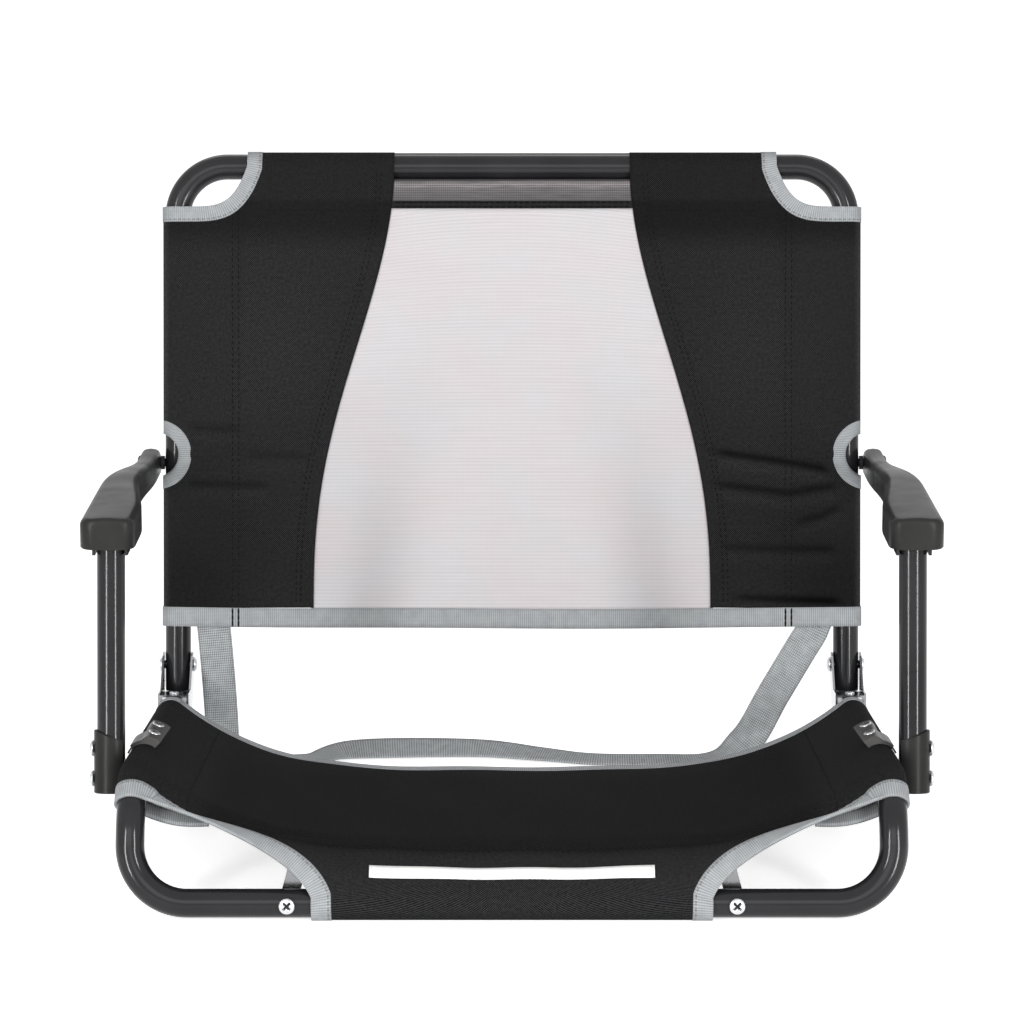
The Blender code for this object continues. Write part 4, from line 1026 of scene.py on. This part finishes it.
class CHAIR_OT_stage(bpy.types.Operator):
    """Floor, light and the camera at the photograph's angle."""

    bl_idname = "chair.stage"
    bl_label = "Stage"

    def execute(self, context):
        stage = context.scene.chair_stage
        mesh = bpy.data.meshes.new("floor")
        corners = [(x * FLOOR_HALF, y * FLOOR_HALF, 0) for x, y in ((-1, -1), (1, -1), (1, 1), (-1, 1))]
        mesh.from_pydata(corners, [], [(0, 1, 2, 3)])
        floor = bpy.data.objects.new("floor", mesh)
        floor.location.z = -FLOOR_DROP
        context.scene.collection.objects.link(floor)
        material, tree, shader = finish_nodes("pale_floor", Roughness=0.9, Specular_IOR_Level=0.1)
        shader.inputs["Base Color"].default_value = (0.90, 0.90, 0.90, 1)
        shader.inputs["Emission Color"].default_value = (1, 1, 1, 1)
        glow = maths(tree, "MULTIPLY", in_view(tree), FLOOR_GLOW)
        tree.links.new(glow, shader.inputs["Emission Strength"])
        mesh.materials.append(material)
        world = bpy.data.worlds.new("studio")
        world.use_nodes = True
        sky = world.node_tree
        background = sky.nodes["Background"].inputs
        background["Color"].default_value = (1, 1, 1, 1)
        strength = maths(sky, "ADD", maths(sky, "MULTIPLY", in_view(sky), 1 - stage.sky), stage.sky)
        sky.links.new(strength, background["Strength"])
        context.scene.world = world
        for name, spot, (wide, tall), share in LAMPS:
            light = bpy.data.lights.new(name, "AREA")
            light.shape = "RECTANGLE"
            light.size, light.size_y = wide, tall
            light.energy = stage.key_power * share
            lamp = bpy.data.objects.new(name, light)
            lamp.location = spot
            lamp.rotation_euler = (AIM - Vector(spot)).to_track_quat("-Z", "Y").to_euler()
            context.scene.collection.objects.link(lamp)
        lens = bpy.data.cameras.new("camera")
        lens.sensor_width = SENSOR
        lens.lens = stage.lens_pixels / FRAME_PIXELS * SENSOR
        lens.clip_end = 100.0
        camera = bpy.data.objects.new("camera", lens)
        camera.location = STAND @ Vector((0, stage.camera_y, stage.camera_z))
        camera.rotation_euler = (math.pi / 2 - stage.camera_pitch - LEAN, 0, 0)
        context.scene.collection.objects.link(camera)
        context.scene.camera = camera
        context.scene.view_settings.view_transform = "Standard"
        return {"FINISHED"}


class CHAIR_OT_strap(bpy.types.Operator):
    """The webbing strap that hangs from the back hem and lies on the floor behind the seat."""

    bl_idname = "chair.strap"
    bl_label = "Strap"

    def execute(self, context):
        route = through(STRAP_ROUTE, 10)
        line = route[:, :3]
        ahead = unit(np.gradient(line, axis=0))
        level = unit(np.cross(ahead, (0.0, 1.0, 0.0)))
        flat = unit(np.cross((0.0, 0.0, 1.0), ahead))
        share = smooth(route[:, 3:], 0, 1)
        width = unit(level * (1 - share) + flat * share)
        across = np.linspace(-0.5, 0.5, 7) * STRAP_WIDTH
        points = line[:, None, :] + across[None, :, None] * width[:, None, :]
        run = run_along(line)
        strap = [patch(points, stack(across[None, :], run[:, None]))]
        item = build("strap_webbing", strap, None, "strap", ["carry_strap"], STRAP_WALL)
        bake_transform(item)
        return {"FINISHED"}


class CHAIR_OT_tubes(bpy.types.Operator):
    """The bent tubes of the seat, the back and the arm posts."""

    bl_idname = "chair.tubes"
    bl_label = "Tubes"

    def execute(self, context):
        seat = [(-RAIL_X, RAIL_REAR, RAIL_Z), (-RAIL_X, LOOP_Y, RAIL_Z), (-RAIL_X, BAR_Y, BAR_Z)]
        seat += [(-x, y, z) for x, y, z in reversed(seat)]
        path = bent_path(seat, (LOOP_BEND, CORNER, CORNER, LOOP_BEND))
        build("seat_tube", [capped_tube(path, TUBE)], "seat", "steel", ["seat_frame"])
        back = [(-RAIL_X, 0, -BACK_TAIL), (-RAIL_X, 0, BACK_TOP)]
        back += [(-x, y, z) for x, y, z in reversed(back)]
        path = bent_path(back, (CORNER, CORNER))
        build("back_tube", [capped_tube(path, TUBE)], "back", "steel", ["back_frame"])
        for label, side in SIDES:
            path = np.array([(side * POST_X, 0, z) for z in np.linspace(-POST_TAIL, LINK + POST_HEAD, 12)])
            tube = [capped_tube(path, TUBE)]
            build(f"post_tube_{label}", tube, f"{label}_post", "steel", [f"arm_post_{label}"])
        return {"FINISHED"}


class CHAIR_OT_seat_cloth(bpy.types.Operator):
    """The seat sling with its sleeves, its binding tapes, its seams and its blank tape."""

    bl_idname = "chair.seat_cloth"
    bl_label = "Seat cloth"

    def execute(self, context):
        sewing = context.scene.chair_sewing
        wide = sewing.tape_width
        shares = np.linspace(-1, 1, 81)
        turn = np.linspace(SLEEVE_START, -SEAT_ANGLE, 27)
        run = np.concatenate([np.linspace(REAR_RUN, 0, 40), SLEEVE_RUN * np.linspace(0, 1, 15)[1:]])
        roll = np.where(run > 0, TURN_SHARE * run / SLEEVE_RUN, run)
        middle = seat_point(shares[None, :], roll[:, None])
        left, right = (sleeve_point(side, turn[None, :], run[:, None])[:, :-1] for side in (-1, 1))
        whole = np.concatenate([left, middle, right[:, ::-1]], axis=1)
        front = seat_point(shares[None, :], np.linspace(TURN_SHARE, 1, 34)[:, None])
        sleeve = bar_point(shares[None, :] * BAR_HALF, np.linspace(ROLL_END, BAR_WRAP_END, 25)[:, None])
        lower = np.concatenate([front, sleeve[1:]])
        cloth = [patch(whole, arc_uv(whole)), patch(lower, arc_uv(lower))]
        seat = build("seat_cloth", cloth, "seat", "seat", ["seat_sling"], WALL)
        # Paints shade and light into the seat's colour.
        mark_painted_light(seat, STAND, seat_painted_light)
        tapes = []
        for side in (-1, 1):
            def sleeve_at(a, run, side=side):
                return sleeve_point(side, a, run)
            angle = np.linspace(SLEEVE_START, -SEAT_ANGLE, 40)
            ring = sleeve_at(angle, SLEEVE_RUN)
            roll = np.linspace(TURN_SHARE, 1, 90)
            cut = seat_point(float(side), roll)
            around = bar_point(side * BAR_HALF, np.linspace(ROLL_END, BAR_WRAP_END, 40))
            legs = [
                (ring, sleeve_at(angle, SLEEVE_RUN - 0.002) - ring),
                (cut, seat_point(side * 0.9, roll - 0.12 * (1 - roll)) - cut),
                (around, (-side, 0, 0)),
            ]
            tapes.append(marched_tape(cloth, legs, wide))
            tapes.append(edge_tape(sleeve_at, angle, REAR_RUN, wide))
            start, under = np.array([SLEEVE_START]), np.array([side * LOWER_SHARE])
            foot = sleeve_at(start, SLEEVE_RUN)
            inner = seat_point(under, TURN_SHARE) - LOWER_DROP
            share, depth = np.linspace(0, 1, 40)[:, None], np.linspace(0, wide, 6)
            back = unit(sleeve_at(start, SLEEVE_RUN - 0.004) - foot)
            slope = unit(seat_point(under, TURN_SHARE * 0.6) - LOWER_DROP - inner)
            edge = foot + (inner - foot) * share - LOWER_DROP * np.sin(math.pi * share)
            way = unit(back + (slope - back) * share)
            points = edge[:, None, :] + way[:, None, :] * depth[None, :, None]
            tapes.append(patch(points, stack(depth[None, :], share * np.linalg.norm(inner - foot))))
        tapes.append(edge_tape(seat_point, np.linspace(-1, 1, 90), REAR_RUN, wide))
        tape = build("seat_binding", tapes, "seat", "tape", wall=sewing.tape_wall)
        sewn = []
        for roll in SEAM_ROLLS:
            sewn += stitches(seat_point, np.linspace(-0.90, 0.90, 300), roll)
        along = np.concatenate([np.linspace(REAR_RUN + 0.004, 0, 200), np.linspace(0, TURN_SHARE, 40)[1:]])
        for side in (-1, 1):
            sewn += stitches(seat_point, side * WING, along)
        thread = build("seat_stitching", sewn, "seat", "thread")
        across, along = np.linspace(-LABEL_HALF, LABEL_HALF, 40), np.linspace(0, LABEL_WIDTH, 4)
        roll = LABEL_ROLL + along / LABEL_REACH
        reach = seat_point(1.0, roll)[:, 0]
        strip = seat_point(across[None, :] / reach[:, None], roll[:, None])
        blank = [patch(strip + LABEL_LIFT, arc_uv(strip))]
        label = build("seat_tape", blank, "seat", "label", wall=LABEL_WALL)
        return {"FINISHED"}


class CHAIR_OT_back_cloth(bpy.types.Operator):
    """The back's side panels with their sleeves, tapes and double seams, and the grey hem."""

    bl_idname = "chair.back_cloth"
    bl_label = "Back cloth"

    def execute(self, context):
        for label, side in SIDES:
            self.panel(context.scene.chair_sewing, label, side)
        self.hem()
        return {"FINISHED"}

    def panel(self, sewing, label, side):
        """One side panel with its sleeve, its tapes and its stitches."""
        def face(across, rise):
            return panel_point(side, across, rise)
        wide = sewing.tape_width * BACK_TAPE
        span = RAIL_X - MESH_TOP
        corner = (RAIL_X - CORNER_X) / span
        cols = 19
        across = np.concatenate([np.linspace(0, corner, cols), np.linspace(corner, 1, 34)[1:]])
        rise = np.linspace(0, 1, 200)
        flat = face(across[None, :], rise[:, None])
        low = HEM_HIGH + HEM_GAP
        heights = low + (SIDE_TOP - low) * rise
        sleeve = side_point(side, np.linspace(SIDE_WRAP, 0, 22)[None, :], heights[:, None])[:, :-1]
        whole = np.concatenate([sleeve, flat], axis=1)
        middle = (whole[:-1, :-1] + whole[1:, 1:]) / 2
        gap = np.hypot(np.abs(middle[..., 0]) - NOTCH_X, middle[..., 2] - NOTCH_Z)
        hood = top_point(flat[-1, cols - 1:, 0][None, :], np.linspace(0, TOP_WRAP, 22)[:, None])
        cloth = [
            patch(whole, arc_uv(whole), gap > NOTCH_R + 0.003),
            patch(hood, arc_uv(hood) + np.array((0, 0.33))),
        ]
        panel = build(f"back_cloth_{label}", cloth, "back", "cloth", [f"back_panel_{label}"], WALL)
        # Paints shade and light into the panel's colour.
        mark_painted_light(panel, BACK, lambda points: panel_painted_light(side, points))
        cut = np.linspace(RAIL_X, CORNER_X, 60)
        height = panel_top(cut)
        legs = [
            (side_point(side, np.linspace(SIDE_WRAP, 0, 40), SIDE_TOP), (0, 0, -1)),
            (stack(side * cut, back_depth(cut, height), height), (-side, 0, -1)),
            (top_point(side * CORNER_X, np.linspace(0, TOP_WRAP, 40)), (-side, 0, 0)),
        ]
        tapes = [marched_tape(cloth, legs, wide), *notch_tape(side, wide)]
        tape = build(f"back_binding_{label}", tapes, "back", "back_tape", wall=sewing.tape_wall)
        sewn = []
        climb = np.linspace(0.01, 0.985, 400)
        for x in TUBE_SEAMS:
            height = HEM_HIGH + (TUBE_SEAM_TOP - HEM_HIGH) * climb
            share = (RAIL_X - x) / (RAIL_X - mesh_edge(height))
            top = panel_top(RAIL_X - share * span)
            sewn += stitches(face, share, (height - HEM_HIGH) / (top - HEM_HIGH))
        for inset in MESH_SEAMS:
            height = HEM_HIGH + (BACK_TOP - 0.004 - HEM_HIGH) * climb
            sewn += stitches(face, 1 - inset / (RAIL_X - mesh_edge(height)), climb)
        sewn += stitches(face, np.linspace(0.42, 0.93, 160), LEVEL_SEAM)
        thread = build(f"back_stitching_{label}", sewn, "back", "thread")

    def hem(self):
        """The hem tape across the back and round both tubes, which dips a little, with its stitches."""
        def face(x, rise):
            return stack(x, -HEM_RADIUS - HEM_WALL / 2, rise)
        turn = np.linspace(SIDE_WRAP, 0, 20)[:-1]
        outer, deep = RAIL_X + HEM_RADIUS * np.sin(turn), -HEM_RADIUS * np.cos(turn)
        x = np.concatenate([-outer, np.linspace(-RAIL_X, RAIL_X, 80), outer[::-1]])
        y = np.concatenate([deep, np.full(80, -HEM_RADIUS), deep[::-1]])
        height = np.linspace(HEM_LOW, HEM_HIGH + 0.001, 5)[:, None]
        dip = HEM_DIP * (1 - (x / RAIL_X)**2) * (1 + 0.25 * np.sin(21 * x))
        points = stack(x[None, :], y[None, :], height - dip[None, :])
        tape = [patch(points, stack(height, run_along(stack(x, y))[None, :]))]
        hem = build("hem_tape", tape, "back", "hem", ["back_hem"], HEM_WALL)
        sewn = []
        for x in TUBE_SEAMS:
            for side in (-1, 1):
                sewn += stitches(face, side * x, np.linspace(HEM_LOW, HEM_HIGH, 30), HEM_STITCH)
        thread = build("hem_stitching", sewn, "back", "thread")


class CHAIR_OT_back_mesh(bpy.types.Operator):
    """The pale mesh between the panels, its black seam and its doubled top behind the bare bar."""

    bl_idname = "chair.back_mesh"
    bl_label = "Back mesh"

    def execute(self, context):
        share = np.linspace(-1, 1, 61)
        def net(height, ahead=0.0008):
            x = share[None, :] * (mesh_edge(height) + MESH_LAP)[:, None]
            return stack(x, back_depth(x, height[:, None]) + ahead, height[:, None])
        def front(x, height):
            return stack(x, back_depth(x, height) - STRIP_WALL / 2, height)
        points = net(np.linspace(HEM_HIGH - MESH_LAP, MESH_SEAM + 0.001, 70))
        pale = [patch(points, arc_uv(points))]
        screen = build("mesh_screen", pale, "back", "mesh", ["back_mesh"], MESH_WALL)
        face = net(np.linspace(STRIP_TOP - 0.001, BACK_TOP - 0.0105, 10))
        behind = np.linspace(math.radians(-65), math.radians(-260), 22)
        over = top_point((share * (MESH_TOP + MESH_LAP))[None, :], behind[:, None])
        points = np.concatenate([face, over])
        band = build("mesh_band", [patch(points, arc_uv(points))], "back", "net", wall=MESH_WALL)
        points = net(np.linspace(MESH_SEAM, STRIP_TOP, 6), 0.0)
        strip = build("mesh_seam", [patch(points, arc_uv(points))], "back", "cloth", wall=STRIP_WALL)
        sewn = []
        for height in (MESH_SEAM + 0.0012, STRIP_TOP - 0.0012):
            sewn += stitches(front, np.linspace(-1, 1, 120) * (mesh_edge(height) - MESH_LAP), height)
        thread = build("mesh_stitching", sewn, "back", "thread")
        return {"FINISHED"}


class CHAIR_OT_armrests(bpy.types.Operator):
    """The moulded armrests: long paddles with rounded upper edges, hollow below, on a rounded eye."""

    bl_idname = "chair.armrests"
    bl_label = "Armrests"

    def execute(self, context):
        along = np.concatenate([
            ARM_NOSE * (1 - np.cos(np.linspace(0.02, math.pi / 2, 14))),
            np.linspace(ARM_NOSE, ARM_LENGTH - ARM_TAIL, 90)[1:],
            ARM_LENGTH - ARM_TAIL + ARM_TAIL * np.sin(np.linspace(0, math.pi / 2 - 0.05, 12))[1:],
        ])
        outer, inner, top, floor = arm_ring(along)
        radius = np.minimum(ARM_ROUND, np.minimum((outer - inner) / 3, (top - floor) / 2))
        o, i, t, f, r = (v[:, None] for v in (outer, inner, top, floor, radius))
        quarter = np.linspace(0, math.pi / 2, 8)[None, :]
        right_x, right_z = o - r + r * np.cos(quarter), t - r + r * np.sin(quarter)
        left_x, left_z = i + r - r * np.sin(quarter), t - r + r * np.cos(quarter)
        crown = ARM_CROWN * np.sin(np.linspace(0, math.pi, 16))[None, :]
        flat_x = (o - r) + (i + r - o + r) * np.linspace(0, 1, 16)[None, :]
        flat_z = t + crown * np.minimum((o - i) / 0.04, 1)
        depth = (smooth(along, 0.0035, 0.0045) * (1 - smooth(along, 0.214, 0.216)))[:, None]
        roof = f + (t - ARM_ROOF - f) * depth
        low, high = i + ARM_SKIRT, o - ARM_SKIRT
        hollow_x = (low, low + 0.0015, high - 0.0015, high)
        rows_x = (o - ARM_LIP, o, right_x, flat_x[:, 1:-1], left_x, i, i + ARM_LIP, *hollow_x, o - ARM_LIP)
        rows_z = (f, f + ARM_LIP, right_z, flat_z[:, 1:-1], left_z, f + ARM_LIP, f, f, roof, roof, f, f)
        xs, zs = np.concatenate(rows_x, axis=1), np.concatenate(rows_z, axis=1)
        y = (along - ARM_LINK - ARM_FRONT)[:, None]
        for label, side in SIDES:
            arm = [ended(stack(side * (POST_X + xs), y, zs))]
            build(f"armrest_body_{label}", arm, f"{label}_arm", "plastic", [f"armrest_{label}"], sharp=50)
            dress(f"arm_clevis_{label}", "steel")
        return {"FINISHED"}


class CHAIR_OT_post_fittings(bpy.types.Operator):
    """The open sleeves round the posts' feet and the clips on the rails, with their rivets."""

    bl_idname = "chair.post_fittings"
    bl_label = "Post fittings"

    def execute(self, context):
        for label, side in SIDES:
            self.socket(label, side)
            self.clip(label, side)
        return {"FINISHED"}

    def socket(self, label, side):
        """A sleeve round a post's foot, open on its inner side and higher outside, with small chamfers."""
        angle = np.linspace(-math.radians(138), math.radians(138), 49)
        inner, outer = TUBE + CLEAR, TUBE + SOCKET_WALL
        low, high = -POST_TAIL, 0.019 + 0.004 * np.cos(angle)
        edge = 0.0006
        section = (
            (outer - edge, low), (outer, low + edge), (outer, high - edge), (outer - edge, high),
            (inner + edge, high), (inner, high - edge), (inner, low), (outer - edge, low),
        )
        rows = [stack(side * (POST_X + r * np.cos(angle)), r * np.sin(angle), z) for r, z in section]
        sleeve = [ended(np.stack(rows, axis=1))]
        build(f"socket_{label}", sleeve, f"{label}_post", "plastic", [f"post_socket_{label}"], sharp=40)

    def clip(self, label, side):
        """A saddle on a rail, its inner half a wedge that rises to the rear, with a band and two rivets."""
        low = WRAP + WALL / 2 + CLEAR
        def ring(angle, radius, y):
            return stack(side * (RAIL_X + radius * np.sin(angle)), y, RAIL_Z + radius * np.cos(angle))
        def rise(y):
            return CLIP_RISE * (y - CLIP_FRONT) / (CLIP_REAR - CLIP_FRONT)
        angle = np.linspace(math.radians(44), math.radians(-42), 33)
        wedge = smooth(-angle, -math.radians(12), math.radians(12))
        def crown(y):
            return low + 0.0025 + wedge * (0.003 + rise(y))
        edge = 0.0007
        section = (
            (low, CLIP_FRONT), (crown(CLIP_FRONT) - edge, CLIP_FRONT),
            (crown(CLIP_FRONT + edge), CLIP_FRONT + edge), (crown(CLIP_REAR - edge), CLIP_REAR - edge),
            (crown(CLIP_REAR) - edge, CLIP_REAR), (low, CLIP_REAR), (low, CLIP_FRONT),
        )
        saddle = [ended(np.stack([ring(angle, radius, y) for radius, y in section], axis=1))]
        build(f"rail_clip_{label}", saddle, "seat", "clip", [f"rail_saddle_{label}"], sharp=40)
        angle = np.linspace(math.radians(66), math.radians(40), 13)
        ends, high = (CLIP_FRONT, CLIP_FRONT + 0.012), low + 0.0012
        section = ((low, ends[0]), (high, ends[0]), (high, ends[1]), (low, ends[1]), (low, ends[0]))
        band = [ended(np.stack([ring(angle, radius, y) for radius, y in section], axis=1))]
        build(f"clip_band_{label}", band, "seat", "clip", sharp=40)
        tilt = math.radians(-20)
        pitch = math.atan2(CLIP_RISE, CLIP_REAR - CLIP_FRONT)
        axis = (side * math.sin(tilt), -math.sin(pitch), math.cos(tilt))
        heads = []
        for y in (CLIP_FRONT + 0.012, CLIP_REAR - 0.009):
            seat = ring(tilt, low + 0.0053 + rise(y), y)
            heads.append(cross_head(seat, axis, 0.002, 0.0015, 0.0042, 0.0012, False))
        build(f"clip_rivets_{label}", heads, "seat", "zinc")


class CHAIR_OT_hinges(bpy.types.Operator):
    """The folded hinge brackets with their pins and rivets."""

    bl_idname = "chair.hinges"
    bl_label = "Hinges"

    def execute(self, context):
        reach = TUBE + PLATE_GAP + PLATE + CLEAR
        heads = []
        for label, side in SIDES:
            dress(f"hinge_bracket_{label}", "bracket")
            pins = []
            for way in (-1, 1):
                seat = (side * RAIL_X + way * reach, PIVOT_Y, PIVOT_Z)
                pins.append(cross_head(seat, (way, 0, 0), reach, recess=False))
            build(f"hinge_rivet_{label}", pins, "seat", "zinc", [f"hinge_pin_{label}"])
            seat = (side * RAIL_X, RAIL_REAR - 0.025, RAIL_Z + TUBE + PLATE_GAP + PLATE)
            heads.append(cross_head(seat, (0, 0, 1), 0.001, 0.0015, 0.0036, 0.0017, False))
        build("bracket_rivets", heads, "seat", "zinc")
        return {"FINISHED"}


class CHAIR_OT_screws(bpy.types.Operator):
    """Cross-head screws on the front bar, the sockets and the armrests, and the arm bolts."""

    bl_idname = "chair.screws"
    bl_label = "Screws"

    def execute(self, context):
        for label, side in SIDES:
            front = (side * HOOK_X, BAR_Y - TUBE - CLEAR, BAR_Z)
            rear = (side * HOOK_X, BAR_Y + TUBE + HOOK_DEPTH, BAR_Z)
            heads = [cross_head(front, (0, -1, 0), 0.012), cross_head(rear, (0, 1, 0), 0.012, recess=False)]
            build(f"bar_screw_{label}", heads, "seat", "zinc", [f"front_bar_screw_{label}"])
            for level, z in (("lower", -0.0102), ("upper", 0.0102)):
                seat = (side * (POST_X + TUBE + SOCKET_WALL + CLEAR), 0, z)
                heads = [cross_head(seat, (side, 0, 0), 0.0078, 0.002)]
                nodes = [f"post_screw_{level}_{label}"]
                build(f"socket_screw_{level}_{label}", heads, f"{label}_post", "zinc", nodes)
            reach = TUBE + FORK_GAP + FORK + CLEAR
            heads = []
            for way in (-1, 1):
                seat = (side * POST_X + way * reach, -ARM_LINK, 0)
                heads.append(cross_head(seat, (way, 0, 0), reach))
            build(f"arm_pivot_screw_{label}", heads, f"{label}_arm", "zinc", [f"arm_screw_{label}"])
            ends = ((-side, RAIL_X - TUBE - CLEAR), (side, POST_X + ARM_OUTER_END + CLEAR))
            middle = (ends[0][1] + ends[1][1]) / 2
            heads = [cross_head((side * x, 0, LINK), (way, 0, 0), abs(middle - x)) for way, x in ends]
            spacer = np.linspace(RAIL_X + TUBE + PLATE_GAP, POST_X - ARM_INNER_END - CLEAR, 5)
            path = np.array([(side * x, 0, LINK) for x in spacer])
            heads.append(capped_tube(path, 0.0052, 32, 0.0006))
            build(f"arm_pivot_bolt_{label}", heads, "back", "bolt", [f"arm_bolt_{label}"])
            dress(f"post_pin_{label}", "zinc")
            dress(f"bench_hook_{label}", "hook")
        return {"FINISHED"}


class CHAIR_PT_panel(bpy.types.Panel):
    """The chair's pieces in the sidebar."""

    bl_idname = "CHAIR_PT_panel"
    bl_label = "Chair"
    bl_space_type = "VIEW_3D"
    bl_region_type = "UI"
    bl_category = "Chair"

    def draw(self, context):
        for group in (context.scene.chair_finishes, context.scene.chair_sewing, context.scene.chair_stage):
            for name in group.__annotations__:
                self.layout.prop(group, name)
        for operator in OPERATORS:
            self.layout.operator(operator.bl_idname)


OPERATORS = (
    CHAIR_OT_stage,
    CHAIR_OT_strap,
    CHAIR_OT_tubes,
    CHAIR_OT_seat_cloth,
    CHAIR_OT_back_cloth,
    CHAIR_OT_back_mesh,
    CHAIR_OT_armrests,
    CHAIR_OT_post_fittings,
    CHAIR_OT_hinges,
    CHAIR_OT_screws,
)
GROUPS = (
    ("chair_finishes", ChairFinishes),
    ("chair_sewing", ChairSewing),
    ("chair_stage", ChairStage),
)


def register():
    """Register the classes and hang the settings on the scene."""
    for name, group in GROUPS:
        bpy.utils.register_class(group)
        setattr(bpy.types.Scene, name, bpy.props.PointerProperty(type=group))
    for operator in OPERATORS:
        bpy.utils.register_class(operator)
    bpy.utils.register_class(CHAIR_PT_panel)


def unregister():
    """Take the classes and settings away again."""
    bpy.utils.unregister_class(CHAIR_PT_panel)
    for operator in reversed(OPERATORS):
        bpy.utils.unregister_class(operator)
    for name, group in reversed(GROUPS):
        delattr(bpy.types.Scene, name)
        bpy.utils.unregister_class(group)


def main():
    """Dress the chair."""
    register()
    for operator in OPERATORS:
        group, name = operator.bl_idname.split(".")
        getattr(getattr(bpy.ops, group), name)()


if __name__ == "__main__":
    main()
